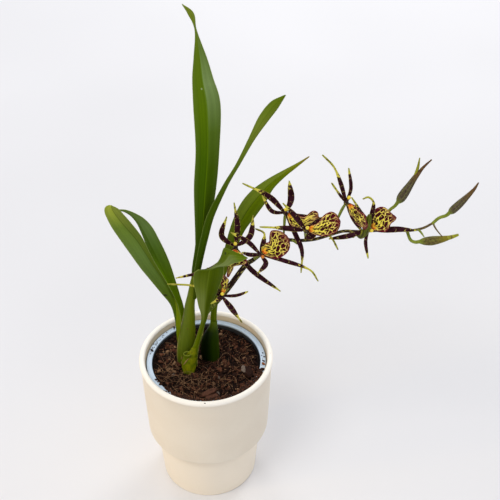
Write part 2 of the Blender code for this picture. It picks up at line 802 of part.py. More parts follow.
def make_bulbs():
    x, y, a, b = SHEATH_FOOT
    sheath = [
        (x, y, FOOT_DEPTH, a, b),
        (x, y, 158, a, b),
        (-17.3, 4, 181, 7.4, 5.8),
        (-16.5, 4, 200, 6.6, 5.2),
        (-15.4, 3.6, 215, 5.7, 4.8),
        (-13, 3, 233, 4.5, 4.4),
        (-10.6, 2, SHEATH_TOP, 3.8, 4.4),
    ]
    solid("growth_sheath", oval_loft(sheath, 12), "sheath")
    x, y, a, b = FRONT_BULB_FOOT
    front = [
        (x, y, FOOT_DEPTH, a, b),
        (x, y, 156, a, b),
        (-17.3, y, 165, a + 0.2, b),
        (-16.8, y, 171, a, b - 0.2),
        (-15.8, y, FRONT_BULB_TOP, 6.1, 4.0),
    ]
    scar = [
        (-18.6, y, 172, 2.9, 2.7),
        (-18.6, y, FRONT_BULB_TOP + 1.4, 2.9, 2.7),
        (-18.6, y, FRONT_BULB_TOP + 2, 2.4, 2.2),
    ]
    fused("bulb_front", [oval_loft(front, 12), oval_loft(scar, 10)], "sheath")
    x, y, a, b = BACK_BULB_FOOT
    back = [
        (x, y, FOOT_DEPTH, a, b),
        (x, y, 156, a, b),
        (x, y, 161, a + 0.9, b + 0.5),
        (x, y, 170, 8.5, 6.3),
        (5.7, y, 181, 7.7, 5.9),
        (6.2, y, 190, 6.2, 5.0),
        (7.2, y, 196, 4.4, 3.9),
        (7.9, y, BACK_BULB_TOP, 3.2, 3.1),
    ]
    solid("bulb_back", oval_loft(back, 12), "bulb")


def make_leaves():
    for name, leaf in LEAVES.items():
        solid(name, leaf_shape(leaf["stations"], leaf["fold"]), "leaf")
    solid("leaf_bent", bent_leaf_shape(), "leaf")


def make_spike():
    shapes = [tube(RACHIS, 6)]
    shapes += [pedicel_shape(bloom["centre"], bloom["root"]) for bloom in BLOOMS]
    shapes += [bud_stalk_shape(bud["stalk"], bud["body"]) for bud in BUDS]
    shapes += [tube(bract, 5, 2) for bract in BRACTS]
    fused("flower_spike", shapes, "stalk")


def make_bloom(number, bloom):
    centre = bloom["centre"]
    tepals = [tepal_shape(centre, points, width) for points, width in bloom["tepals"]]
    fused(f"bloom_{number}_tepals", [heart_shape(centre)] + tepals, "tepal")
    solid(f"bloom_{number}_lip", lip_shape(centre, *bloom["lip"]), "lip")
    solid(f"bloom_{number}_column", column_shape(centre, bloom["column"]), "column")


def make_bud(number, bud):
    fused(f"bud_{number}", [tube(bud["body"], 8, 2)] + [tube(beak, 6, 2) for beak in bud["beaks"]], "bud")


def main():
    clear_scene()
    make_pots()
    make_mix()
    make_bulbs()
    make_leaves()
    make_spike()
    for number, bloom in enumerate(BLOOMS, 1):
        make_bloom(number, bloom)
    for number, bud in enumerate(BUDS, 1):
        make_bud(number, bud)


main()
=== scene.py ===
"""Looks of the cambria orchid in its pot: finer leaves, flowers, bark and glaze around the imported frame.

Sizes of the plant and its pot are in millimetres, and their meshes are written in metres. Camera, lamps
and floor are in metres. +Z is up and the camera is on the -Y side.
Colours are red, green and blue as they look on screen, from 0 to 255.
"""

import math
import random

import bmesh
import bpy
import numpy as np
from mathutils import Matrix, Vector


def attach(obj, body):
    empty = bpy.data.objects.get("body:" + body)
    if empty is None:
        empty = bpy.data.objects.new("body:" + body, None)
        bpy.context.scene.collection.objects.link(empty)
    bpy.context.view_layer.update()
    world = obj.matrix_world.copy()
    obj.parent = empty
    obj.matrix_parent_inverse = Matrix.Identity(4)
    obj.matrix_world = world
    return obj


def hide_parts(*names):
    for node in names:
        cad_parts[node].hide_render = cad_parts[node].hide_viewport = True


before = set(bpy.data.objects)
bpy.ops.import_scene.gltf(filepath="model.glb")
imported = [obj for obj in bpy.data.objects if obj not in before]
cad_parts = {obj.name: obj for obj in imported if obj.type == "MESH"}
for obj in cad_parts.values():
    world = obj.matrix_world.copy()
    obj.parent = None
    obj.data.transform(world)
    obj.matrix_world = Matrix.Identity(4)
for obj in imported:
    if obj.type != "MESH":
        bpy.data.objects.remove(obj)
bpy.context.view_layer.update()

MM = 0.001
SEED = 11
BODY = "root"

# Camera: where it stands, how far it looks down, and its lens on a 36 mm sensor
CAMERA_PLACE = (0.0459, -0.7446, 0.9096)
CAMERA_PITCH = math.radians(51.1)
CAMERA_LENS = 72.0

# Disc lamps: name, place, what they face, size, power, colour
LAMPS = [
    ("key", (-0.65, -0.85, 2.1), (0, 0, 0.15), 1.0, 16, (1.0, 0.955, 0.885)),
    ("fill", (1.6, -1.4, 1.2), (0, 0, 0.25), 1.6, 2.3, (0.82, 0.91, 1.0)),
    ("back_right", (1.2, 2.1, 1.8), (0.0, 1.0, 0.0), 1.3, 24, (1.0, 1.0, 1.0)),
    ("back_left", (-0.9, 2.4, 1.8), (-0.2, 1.1, 0.0), 1.3, 13, (1.0, 1.0, 1.0)),
]

# A soft warm cone lights little more than the pot: its angle and the lamp's size, then its place, what it
# faces, its power and colour
SPOT_CONE = math.radians(19)
SPOT_SIZE = 0.12
SPOT = [(-1.2, -0.35, 0.34), (0, 0, 0.07), 13, (1.0, 0.65, 0.14)]

SKY_COLOUR = (0.93, 0.95, 0.99, 1.0)
SKY_STRENGTH = 0.66
FLOOR_CORNERS = [(-6, -4, 0), (6, -4, 0), (6, 8, 0), (-6, 8, 0)]

# Pot, nursery pot and mix, in the sizes of the frame
RIM_RADIUS = 70.0
RIM_ROUND = 3.0
POT_HEIGHT = 168.5
WALL_FOOT = (65.4, 73.8)
WALL_POINTS = [(67.2, 118), (68.3, 150), (68.4, POT_HEIGHT - 6.6)]
STEP_HEIGHT = 68.2
BASE_TOP_RADIUS = 57.1
BASE_FOOT_RADIUS = 51.8
POT_WALL = 5.8
POT_FLOOR = 6.5
LEDGE = 74.0
LINER_TOP = 160.5
LINER_LIP_RADIUS = 62.6
LINER_NECK_RADIUS = 58.5
LINER_NECK_HEIGHT = 153.0
LINER_FLOOR = 50.5
LINER_WALL = 1.6
LINER_TAPER = 0.0866
MIX_HEIGHT = 151.0
MIX_MOUND = 2.5
MIX_RADIUS = 56.5
MIX_EDGE = 58.0

# Flowers open in a plane that leans back by this angle
FACE_TILT = math.radians(39)
FACE = np.array([0.0, -math.cos(FACE_TILT), math.sin(FACE_TILT)])
FACE_UP = np.array([0.0, math.sin(FACE_TILT), math.cos(FACE_TILT)])
RIGHT = np.array([1.0, 0.0, 0.0])

# Heights where the sheath and the bulbs end and where the stems start, down in the mix
SHEATH_TOP = 250.0
FRONT_BULB_TOP = 176.0
BACK_BULB_TOP = 200.0
FOOT_DEPTH = 140.0

# Level ovals of the sheath, the bulbs and the cut leaf's scar: x, y, z, half the width, half the depth
SHEATH = [
    (-21.1, 3.6, FOOT_DEPTH, 7, 5.4), (-21.1, 3.6, 150, 8.8, 6), (-21.1, 3.6, 163, 9.7, 6.4),
    (-20.3, 3.8, 180, 9.3, 6.3), (-18, 4, 200.8, 7.8, 5.8), (-15.9, 3.7, 220.7, 6.1, 5),
    (-14.6, 3.5, 235, 5, 4.6), (-12.6, 3.4, 247, 4.3, 4.3), (-11.2, 3.4, SHEATH_TOP + 6, 3.8, 4),
    (-9.9, 3.5, SHEATH_TOP + 16, 3.1, 3.7), (-9.2, 3.5, SHEATH_TOP + 21, 2.4, 3.3),
]
FRONT_BULB = [
    (-18.1, -11.5, 146, 3, 2.8), (-18.1, -11.7, 149.5, 4.6, 3.8), (-18, -11.4, 154.5, 6, 4.6),
    (-17.7, -10.6, 160, 7.1, 5.1), (-17.3, -9.6, 166, 7.7, 5.4), (-16.4, -8.8, 172, 7.3, 5.2),
    (-14.6, -8.6, 177, 5.7, 4.1), (-12.9, -8.9, 182, 3.5, 2.7), (-11.7, -9.2, 187, 2.5, 1.3),
]
SCAR = [
    (-18.2, -10, 170, 3.6, 3), (-18.6, -10.6, 177, 3.7, 3), (-18.6, -11, 180.4, 4.2, 3.4),
    (-18.6, -11, 181, 3.8, 3), (-18.6, -11, 180.2, 3.2, 2.5), (-18.5, -10.8, 178.3, 2.9, 2.2),
    (-18.5, -10.8, 177.8, 0.7, 0.6),
]
BACK_BULB = [
    (4.8, 8.8, FOOT_DEPTH, 5, 4.4), (4.4, 8.8, 149, 8, 5.8), (3.9, 8.8, 159, 9.6, 6.5),
    (3.8, 8.8, 170, 9.8, 6.6), (4.4, 8.8, 180, 9.1, 6.3), (5.8, 8.8, 190.5, 7.4, 5.4),
    (7.4, 8.8, 198, 5.3, 4.2), (8.3, 8.8, BACK_BULB_TOP + 3, 3.9, 3.2),
    (8.8, 8.8, BACK_BULB_TOP + 8, 3.5, 1.6),
]

# A dry torn edge on the front bulb: x, y, z, radius. Two dry knobs on the sheath: x, y, z, size
DRY_EDGE = [
    (-23.6, -12.2, 165.2, 0.3), (-21.8, -13.3, 168.8, 0.6), (-19.5, -13.4, 172.6, 0.6),
    (-17.2, -13.5, 176.4, 0.3),
]
KNOBS = [(-25.4, -2.4, 165.5, 1.5), (-25.6, -2.3, 159.2, 1.5)]

# Barks of the mix, of the crumbs on the lip and of the dry skin: name, dark, light, grain
MIX_BARKS = [
    ("bark_ground", (12, 7, 5), (36, 23, 18), 900), ("bark_dark", (18, 9, 6), (56, 33, 24), 600),
    ("bark_red", (56, 30, 20), (114, 72, 51), 500), ("bark_tan", (104, 74, 52), (172, 134, 100), 600),
    ("bark_grey", (84, 72, 64), (134, 120, 108), 700), ("bark_chip", (66, 40, 30), (104, 68, 52), 400),
]
CRUMB_BARKS = [
    ("crumb_dark", (40, 24, 18), (70, 48, 38), 800), ("crumb_orange", (122, 66, 26), (160, 96, 44), 800),
    ("crumb_red", (62, 36, 26), (104, 68, 50), 600),
]
DRY_SKIN = ("dry_skin", (112, 88, 44), (166, 140, 92), 500)

# Loose bark: how many, how far inside the edge, sizes, heights, flatness, and how often looks 1 to 4 come
STREWN = [
    (620, 2.5, (1.2, 3.4), (-1.2, 1.6), 0.45, (6, 3, 0.6, 0.08)),
    (900, 1.5, (0.5, 1.1), (0, 1.6), 0.7, (5, 3, 1, 0.15)),
]

# Fibres: how many, how far inside the edge, lengths, heights, thicknesses, and how often looks 0 to 3 come
FIBRES = (900, 7, (4, 15), (0.6, 2.2), (0.1, 0.24), (2, 3, 4, 3))

# A mat of fibres at the front left: how many, angles, radii, heights, lengths, thickness, look
FIBRE_MAT = (36, (185, 265), (22, 50), (1.6, 3.2), (12, 24), 0.17, 3)

# The chunks that stand out: x, y, z, size, flatness, turn, look
BIG_CHUNKS = [
    # The grey flake after the first chunk, at its left, is a painted highlight on that chunk.
    (44, -12, 154, 8.6, 0.4, 1.9, 1), (39, -11, 158.5, 4.4, 0.15, 1.8, 4),
    (3.5, -42, 155, 9.6, 0.25, 0.15, 5), (7, -46.5, 155.2, 8, 0.22, 0.6, 5), (45, 8, 153, 4.6, 0.4, 1, 1),
]

# Small crumbs on the nursery pot's lip: how many, angle and its spread, radius and its spread, sizes
LIP_CRUMBS = [
    (26, 146, 14, 59.8, (-1.4, 1.6), (0.3, 0.85)), (10, -8, 9, 59.4, (-1.6, 1.6), (0.4, 1.1)),
]

# The dense crumbs along its front: how many, angles, radii, sizes, the looks and how often they come
FRONT_CRUMBS = (420, (-135, -12), (55.5, 62), (0.7, 2.3), (0, 2), (3, 2))

# Larger chips on that lip, and two on the rim: radius, angle, size, look
LIP_CHIPS = [
    (60.2, -6, 2.1, 1), (60.6, -2, 1.5, 0), (59.5, 167, 2.2, 0), (60.2, 163, 1, 0), (61, 127, 1.9, 0),
    (60.6, 122, 1.2, 0), (58.3, -150, 1.6, 0), (58, -147, 1.2, 2), (57.6, -142, 2, 0), (68.2, -89, 0.75, 0),
    (67.4, 2, 0.5, 2),
]

# Leaves. The stations give x, y, z along the midrib, the width there and the compass heading of the
# blade's width. The fold is at the foot and the tip. The ribs say how far from the foot and where
# across the blade the midrib runs.
LEAVES = {
    "leaf_tall": dict(
        fold=(0.5, 0.12),
        ribs=[(0, 0), (1, 0)],
        stations=[
            (-10.6, 4.4, SHEATH_TOP - 4, 5.5, 0), (-7.5, 4.5, 278, 7.5, 0), (-3, 5, 304, 9, 0),
            (-0.5, 5.5, 318, 12, 2), (4.5, 7, 372, 20.5, 5), (8, 8, 416, 21.5, 5), (8.5, 9, 460, 24, 2),
            (5.5, 9, 487, 18.5, -4), (4, 9, 507, 12, -10), (1.3, 8, 534, 1.8, -14), (-2, 6, 549.5, 5.2, -6),
            (-8.5, 4, 559, 0.8, 0),
        ],
    ),
    "leaf_right": dict(
        fold=(0.5, 0.3),
        ribs=[(0, 0), (1, 0)],
        stations=[
            (-9.8, -0.4, SHEATH_TOP - 4, 4.6, 0), (-6.5, -0.5, 274, 6, 0), (-1.8, -1, 301, 6.7, 0),
            (3, -1, 324, 7.1, 0), (9.5, -1, 350, 6.8, 0), (23.5, 0, 383.5, 4.4, 0), (35, 1, 406, 3.8, 0),
            (47, 3, 431, 5.4, 0), (57.5, 4, 451, 9.4, 0), (66.5, 5.5, 464, 9, 0), (73.5, 7, 471, 3.5, 0),
            (76.5, 8, 473.5, 0.8, 0),
        ],
    ),
    "leaf_left_front": dict(
        fold=(0.25, 0.2),
        ribs=[
            (0, -0.9), (0.3, -0.85), (0.38, 0), (0.45, 0.7), (0.58, 0.75), (0.68, 0.68), (0.8, 0.5),
            (0.92, 0.3), (1, 0.2),
        ],
        stations=[
            (-26.4, 5, FOOT_DEPTH, 4.6, 0), (-26.6, 5, 165, 4.6, 0), (-27.6, 3, 192.8, 4.7, 0),
            (-27.2, 0, 209.2, 5.5, 0), (-27.2, -2, 222.2, 6.4, 0), (-29.8, -4, 241.6, 7.4, 0),
            (-36.6, -6, 259.6, 11.6, 0), (-43.9, -7, 276, 14.8, 0), (-52.4, -8, 294.5, 17, 0),
            (-58.6, -9, 310.6, 19.2, 0), (-65.3, -10, 328, 21.6, 0), (-73, -11.5, 345.4, 19.8, 0),
            (-78.3, -13, 359, 16.4, 0), (-80.4, -13.8, 366, 13, 4), (-80.6, -14.4, 370, 8.5, 8),
            (-80, -14.8, 372.4, 2.2, 10),
        ],
    ),
    "leaf_left_back": dict(
        fold=(0.25, 0.35),
        ribs=[(0, 0), (0.6, -0.1), (0.85, -0.5), (1, -0.5)],
        stations=[
            (-24.5, 13.5, FOOT_DEPTH, 5, 0), (-24.2, 13.5, 165, 5, 0), (-23.6, 13, 184, 5.2, 0),
            (-23.9, 13, 202.7, 6, 0), (-25.6, 13, 221.5, 7.9, 0), (-29.9, 13, 238.5, 10.1, 0),
            (-35, 13, 257.2, 13, 0), (-40, 13, 275.4, 15.3, 0), (-44.9, 13, 293.3, 15.3, 0),
            (-49.3, 13, 308.9, 13.8, 0), (-53.3, 13, 321.7, 12, 0), (-58.3, 13, 332.5, 8.6, 0),
            (-64.9, 13, 340.5, 4.9, 0), (-71.6, 13, 345.1, 3, 0), (-78.6, 13, 346.8, 1.2, 0),
        ],
    ),
    "leaf_back": dict(
        fold=(0.5, 0.12),
        ribs=[(0, 0), (1, 0)],
        stations=[
            (8, 8.8, BACK_BULB_TOP - 3, 6.6, 0), (10, 10, 229, 6.4, 0), (18, 17, 264, 7.5, -5),
            (26, 23, 290, 11.5, -10), (33.5, 29, 312, 14.5, -12), (43, 35, 329, 19, -15),
            (53.5, 39, 343, 18, -15), (64, 42, 355, 11.5, -15), (76, 44, 365, 7, -12),
            (90.5, 45.5, 375.8, 3.4, -8), (102, 47, 384.5, 0.8, 0),
        ],
    ),
}

# The bent leaf rises, breaks at a slanting crease and points right: pairs of left and right edge points
BENT_LEAF = [
    ((-17.4, -8.5, FRONT_BULB_TOP - 6), (-9.2, -8.5, FRONT_BULB_TOP - 6)),
    ((-15.2, -9, 181), (-8, -9, 181)), ((-11.6, -9.2, 191.7), (-6, -9.2, 191.7)),
    ((-7.4, -9.4, 207), (-2.7, -9.4, 207.5)), ((-3.2, -11, 226), (2.5, -11, 226.5)),
    ((-3, -12.5, 237), (5, -12.5, 238)), ((-4.9, -15, 249), (8.3, -15, 250.5)),
    ((-6.7, -17.5, 266.7), (13.5, -17.5, 266.7)), ((-8.1, -20, 280.3), (17.6, -19.5, 280)),
    ((-8, -21.5, 290.6), (20.6, -21.5, 292)), ((-7, -22, 295.8), (21.4, -22.5, 301.5)),
    ((-4.6, -22.5, 299.1), (21.2, -23, 306.9)), ((-0.9, -22, 301), (22, -24.5, 309.8)),
    ((4.3, -20, 302.8), (23.9, -26, 312)), ((9.7, -18, 304.7), (25.9, -26.5, 313.1)),
    ((14.7, -15.5, 307.6), (27.8, -26.8, 314.1)), ((17.9, -12.5, 312.2), (29.7, -27, 314.9)),
    ((20.8, -10, 319.6), (32.3, -27, 315.7)), ((25.8, -11, 319.4), (34.9, -26.5, 316.2)),
    ((32.3, -13.5, 317.7), (38.1, -25.5, 316.4)), ((39.1, -17.5, 317), (41.4, -23.5, 316.6)),
    ((43.7, -21, 316.5), (43.9, -21.6, 316.1)),
]

# Flower stalk: x, y, z, radius
RACHIS = [
    (-11.3, -2.2, FOOT_DEPTH, 2.2), (-11.1, -2.2, 160, 2.2), (-9, -2.2, 181, 2.2), (-4.5, -2, 199, 2.2),
    (-1.5, -2, 217, 2.1), (3, -2, 230, 2.2), (13, 0, 243, 2.7), (25, 3, 259, 2.9), (41, 5, 285, 2.6),
    (49, 8, 290, 2.2), (58, 11, 296, 1.8), (67, 12, 304, 1.8), (78, 10, 313, 1.8), (93, 8, 314, 1.7),
    (107, 6, 317, 1.6), (120, 6, 321.5, 1.5), (134, 7, 326, 1.5), (149, 8, 325, 1.5), (165, 8, 326, 1.4),
    (181, 8, 327, 1.3), (196, 6, 327.5, 1.3), (209, 4, 332, 1.2), (218, 2, 340, 1.1),
]

# Outlines of the lips that show: distance from the throat, then the reach to each side there
LIP_2 = [
    (0, -2, 2), (3, -6, 7), (6, -9, 10), (9, -10, 12), (12, -9.5, 12), (14, -8.5, 8), (16, -6.4, 0.6),
    (19, -6, -0.5), (22, -6, -1.6), (25, -5.6, -2.4), (27, -5, -3.2),
]
LIP_3 = [
    (0, -2.5, 2.5), (3, -7.4, 8.6), (7, -11.5, 6.8), (11, -13.2, 5.6), (14, -13.5, 9.3), (18, -13.3, 12.7),
    (22, -12, 11.3), (26, -8.5, 7.3), (28.5, -3, 1),
]
LIP_4 = [
    (0, -3, 2), (4, -8.5, 3), (8, -9.8, 2.5), (12, -9.8, 1.5), (16, -8.5, 2.5), (19, -7, 8), (22, -5, 10.3),
    (26, -3, 9.5), (29, 0, 4.5),
]
LIP_5 = [
    (0, -2, 2), (4, -5.6, 3.6), (8, -7.8, 3.8), (12, -9, 6), (16, -9.6, 9.3), (20, -9.3, 11),
    (25, -8, 11.3), (29, -4.5, 8), (31, 0, 1.5),
]
LIP_6 = [
    (0, -1, 2), (3, -2, 8), (7, -2, 11), (11, -2, 13), (15, -2, 15), (19, -2, 14), (23, -2, 10),
    (26, -2, 6), (28, -1, 1),
]
LIP_7 = [
    (0, -2, 2), (3, -5, 5), (6, -7.6, 9), (10, -9.8, 12.8), (14, -9, 13.5), (18, -6, 12.6),
    (21.5, -5.6, 9.5), (24, -5.2, 2.5), (26, -4, -2.4),
]


def even_outline(length, width):
    """The outline of a lip that is alike on both sides."""
    marks = [
        (0, 0.12), (0.12, 0.34), (0.25, 0.62), (0.38, 0.7), (0.52, 0.88), (0.66, 1), (0.8, 0.94),
        (0.91, 0.66), (1, 0.16),
    ]
    return [(length * t, -width / 2 * wide, width / 2 * wide) for t, wide in marks]


# Blooms. Each tepal gives the points it passes and ends at, from the flower's centre, its width
# and how much of its end is yellow. The lip gives its angle in the flower's plane, roll and outline.
# The column gives where its cap lies. The root is where the pedicel leaves the stalk. The callus is
# how far the lip's ridges sit aside, and the cap names its look where it isn't yellow.
BLOOMS = [
    dict(
        centre=(18, -11, 260), root=(25, 3, 259),
        tepals=[
            ([(14, -3, 3), (26, -4, 9)], 3, 0.1),
            ([(8, -4, -10), (20, -2, -34)], 5.4, 0.28),
            ([(-3, -11, 5), (-10, -15, 3)], 4.4, 0.3),
            ([(-25, 4, 9), (-52, -2, 17)], 4, 0.55),
            ([(-7, 3, 14), (-13, 2, 34)], 4.4, 0.2),
        ],
        lip=(80, 55, even_outline(19, 14)), column=(1, -5, 7),
    ),
    dict(
        centre=(32, 2, 311), root=(42, 5.3, 286),
        tepals=[
            ([(-13, 2, 12), (-8, 4, 33)], 5.2, 0.2),
            ([(2, 6, 21), (-1, 10, 45)], 5.4, 0.25),
            ([(14, 3, 11), (17, 6, 33)], 5.6, 0.2),
            ([(15, -4, -25), (44, -4, -53)], 4.8, 0.12),
            ([(-18.4, -6, -17.7), (-34.3, -9, -24.5), (-58, -11, -30)], 3.4, 0.04),
        ],
        lip=(-95, -10, LIP_2), column=(0, -5, 8),
    ),
    dict(
        centre=(56, -6, 308), root=(49.5, 8.2, 290.4),
        tepals=[
            ([(-12, -2, 17), (-28, -4, 30)], 4.4, 0.15),
            ([(3, 6, 12), (3, 8, 20), (-5, 8, 25)], 5, 0.5),
            ([(5, -4, -8), (-2, -2, -21)], 4.8, 0.1),
            ([(23, -2, -6), (47, -2, -17), (56, -4, -30)], 4, 0.35),
            ([(-10, 1, -1), (-18, 2, 1)], 4, 0.1),
        ],
        lip=(35, 0, LIP_3), column=(2, -7, 3), cap="orange_cap",
    ),
    dict(
        centre=(79, 4, 350), root=(78, 10, 313),
        tepals=[
            ([(-16, 2, 18), (-40, 4, 31)], 5.2, 0.35),
            ([(-13, -2, 4), (-22, -1, 21)], 3.8, 0.2),
            ([(5, 4, 13), (3, 8, 31)], 6, 0.12),
            ([(10, -5, -22), (16.5, -8, -40), (16.5, -6, -68)], 4.6, 0.3),
            ([(14, 5, -8), (35, 8, -12)], 5, 0.1),
        ],
        lip=(-18, 10, LIP_4), column=(0, -5, 8),
    ),
    dict(
        centre=(97.8, -10, 340), root=(99, 7.2, 315),
        tepals=[
            ([(-10, -1, 17), (-22, -2, 33)], 5.2, 0.2),
            ([(-18, 1, 2), (-43, 3, 2)], 5, 0.4),
            ([(6, 1, -5), (-1, 3, -13)], 8, 0.05),
            ([(12, 5, -4.5), (24.5, 7, -13.5), (31.5, 2, -24.5)], 4.2, 0.52),
            ([(10, 7, 5), (16.5, 11, 7.7)], 4, 0.1),
        ],
        lip=(14, 0, LIP_5), column=(1, -6, 8),
    ),
    dict(
        centre=(135, 4, 362), root=(122, 6, 322),
        tepals=[
            ([(-6, 3, 20), (-13, 4, 37), (-24, 4, 50)], 3.9, 0.5),
            ([(-7, -2, 11), (-15, -4, 25)], 2.4, 0.5),
            ([(4, 5, 13), (1, 8, 33)], 3.2, 0.18),
            ([(12, 8, -14), (24, 13, -30)], 4.2, 0.1),
            ([(7.8, -7, -14), (16, -9, -27)], 4.6, 0.05),
        ],
        lip=(-60, 60, LIP_6), column=(2, -3, 8), callus=4.5,
    ),
    dict(
        centre=(157, -3, 336), root=(151, 8, 325),
        tepals=[
            ([(-7, -5, 20), (-19, -7, 42)], 2.8, 0.25),
            ([(3, 6, 15), (3.4, 7, 26), (-1.5, 7, 32), (-7, 7, 30)], 4.4, 0.4),
            ([(-18, -2, -6), (-37, -3, -9)], 4.8, 0.1),
            ([(-2, -3, -13), (1.5, -5, -31)], 3.2, 0.2),
            ([(16, 4, -3.5), (30, 3, -2.2), (45, -1, -0.5)], 5.6, 0.06),
        ],
        lip=(30, 0, LIP_7), column=(2, -7, 4),
    ),
]

# The yellow net on each flower's lip: how bold it is, and its meshes across and along
NETS = [
    (0.075, 4, 3.8), (0.15, 7, 5.4), (0.1, 7, 5.6), (0.22, 6.4, 5.6), (0.105, 6.2, 5.8), (0.11, 6.2, 5.6),
    (0.12, 6.6, 5.2),
]

# Buds: the stalk's root and middle, then the body's points with radii, then its beaks, each with
# its colour: 1 green, 2 brown. The olive bud is less brown.
BUDS = [
    dict(
        stalk=[(174, 8, 326.5), (176, 13, 343)],
        body=[
            (184, 13, 355, 1.5), (186.5, 13, 359.5, 4), (189.5, 13, 366, 4.4), (194.5, 13, 377, 3.2),
            (198.5, 13, 386, 2.3), (200, 13, 390, 1.2),
        ],
        beaks=[
            (1, [(197, 13, 383, 1.6), (199.3, 14, 394, 1.3), (200, 14.5, 404.5, 0.5)]),
            (2, [(198.4, 13, 384, 2), (203.3, 12, 395, 1.4), (210.3, 11, 405, 0.6)]),
        ],
    ),
    dict(
        stalk=[(217.5, 2, 339.5), (222.3, 1, 346.3)],
        body=[
            (231, 0, 353, 1.8), (233.6, 0, 356, 3.5), (239, 0, 363, 3.6), (246, -0.5, 373.5, 2.3),
            (250, -1, 380.5, 1.5),
        ],
        beaks=[(2, [(245.5, -0.5, 372.7, 2.1), (250, -1, 380.5, 1.5), (253, -1, 388, 0.6)])],
    ),
    dict(
        stalk=[(195, 6, 327.5), (198, 1, 321)],
        body=[
            (206, -2, 320.5, 1.6), (211, -2.4, 321.3, 3.6), (218, -2.8, 322.3, 4.4), (226, -3, 324, 3.5),
            (233, -3.3, 326.2, 2.2),
        ],
        beaks=[(1, [(229.5, -3.1, 325, 2.5), (236, -3.6, 327.5, 1.9), (242, -4, 330.5, 1.1)])],
        olive=True,
    ),
]

# The seventh flower's ovary, which lies in front of it: x, y, z, radius
OVARY = [
    (156.2, -7.5, 356.5, 1.6), (155.3, -8.5, 351.3, 3), (154.6, -8, 343.2, 3.7), (153.6, -5.5, 334.9, 3.4),
    (150.9, -1, 326.3, 2.6), (148, 3, 324.8, 1.7),
]

# Bracts and a dried thread on the flower stalk: colour (0 brown, 1 green), then points with radii
BRACTS = [
    (1, [(86, 9, 313.5, 1.4), (88, 5.5, 315, 1.1), (91, 3.5, 313, 0.5)]),
    (1, [(205, 4.6, 330.5, 1.2), (208, 1, 328.5, 1), (210.5, -2, 326, 0.5)]),
    (0, [(218, 2, 339, 1), (221, 0, 334, 0.8), (227, -4, 328, 0.5)]),
    (1, [(143, 7.6, 325.3, 1.6), (144, 3.5, 323, 1.8), (142.5, 0.5, 324.5, 0.6)]),
]

# Greens of each leaf's left and right half, from its foot (0) to its tip (1), with painted light and shade:
# the lit half lighter, the shaded half darker, painted highlights where the blade meets the light. Then the
# green of its midrib, and how softly the halves meet. Marks: place across and along, size, strength, colour
LEAF_COLOURS = {
    "leaf_tall": dict(
        left=[
            (0, 52, 72, 0), (0.3, 58, 84, 0), (0.5, 68, 98, 0), (0.66, 90, 118, 6), (0.86, 100, 124, 24),
            (1, 136, 150, 44),
        ],
        right=[
            (0, 66, 84, 2), (0.16, 92, 108, 12), (0.26, 54, 74, 0), (0.48, 70, 96, 2), (0.6, 88, 114, 32),
            (0.75, 132, 156, 92), (0.86, 108, 132, 56), (1, 134, 148, 42),
        ],
        sharp=0.03,
        rib=(92, 120, 4),
        marks=[((0.4, 0.739), (0.05, 0.004), 0.7, (166, 180, 130))],
    ),
    "leaf_right": dict(
        left=[
            (0, 70, 86, 2), (0.25, 52, 76, 0), (0.5, 62, 84, 2), (0.7, 98, 116, 30), (0.85, 118, 134, 44),
            (1, 92, 114, 2),
        ],
        right=[
            (0, 76, 92, 4), (0.25, 58, 82, 0), (0.5, 70, 92, 8), (0.7, 106, 124, 32), (0.85, 126, 140, 44),
            (1, 100, 120, 8),
        ],
        sharp=0.2,
        rib=(74, 98, 8),
    ),
    "leaf_left_front": dict(
        left=[
            (0, 72, 92, 0), (0.46, 76, 98, 2), (0.6, 90, 114, 42), (0.72, 102, 128, 56),
            (0.88, 112, 136, 46), (1, 178, 188, 66),
        ],
        right=[
            (0, 116, 130, 16), (0.3, 134, 150, 14), (0.42, 124, 140, 20), (0.47, 68, 86, 4),
            (0.65, 88, 108, 22), (0.85, 104, 122, 42), (1, 148, 158, 62),
        ],
        sharp=0.02,
        rib=(54, 72, 4),
        marks=[((0.14, 0.484), (0.2, 0.01), 0.9, (44, 44, 14))],
    ),
    "leaf_left_back": dict(
        left=[
            (0, 90, 108, 0), (0.3, 114, 140, 0), (0.55, 112, 148, 0), (0.72, 84, 114, 14),
            (0.85, 92, 120, 44), (1, 92, 108, 40),
        ],
        right=[
            (0, 90, 110, 0), (0.35, 104, 130, 0), (0.55, 98, 128, 8), (0.72, 98, 128, 42),
            (0.85, 116, 142, 74), (1, 98, 118, 54),
        ],
        sharp=0.06,
        rib=(70, 98, 2),
    ),
    "leaf_back": dict(
        left=[
            (0, 88, 104, 2), (0.3, 94, 110, 6), (0.6, 110, 128, 32), (0.85, 124, 142, 40),
            (0.94, 140, 148, 30), (1, 158, 128, 40),
        ],
        right=[
            (0, 92, 106, 4), (0.3, 104, 122, 18), (0.6, 98, 120, 6), (0.85, 110, 130, 8),
            (0.94, 138, 146, 20), (1, 158, 128, 40),
        ],
        sharp=0.02,
        rib=(62, 82, 4),
    ),
    "leaf_bent": dict(
        left=[
            (0, 108, 124, 6), (0.16, 96, 112, 6), (0.3, 88, 102, 12), (0.42, 120, 132, 62),
            (0.52, 114, 128, 56), (0.62, 98, 114, 28), (0.76, 78, 94, 0), (0.79, 112, 126, 58),
            (0.85, 90, 106, 22), (1, 92, 114, 4),
        ],
        right=[
            (0, 104, 120, 4), (0.16, 90, 106, 2), (0.3, 78, 94, 6), (0.5, 72, 88, 0), (0.76, 78, 96, 0),
            (0.79, 126, 140, 80), (0.88, 118, 132, 68), (0.94, 100, 120, 24), (1, 94, 116, 4),
        ],
        sharp=0.07,
        rib=(96, 112, 24),
        marks=[
            ((0.27, 0.891), (0.09, 0.009), 0.7, (40, 44, 30)),
            ((0.4, 0.905), (0.05, 0.007), 0.4, (40, 44, 20)),
        ],
    ),
}


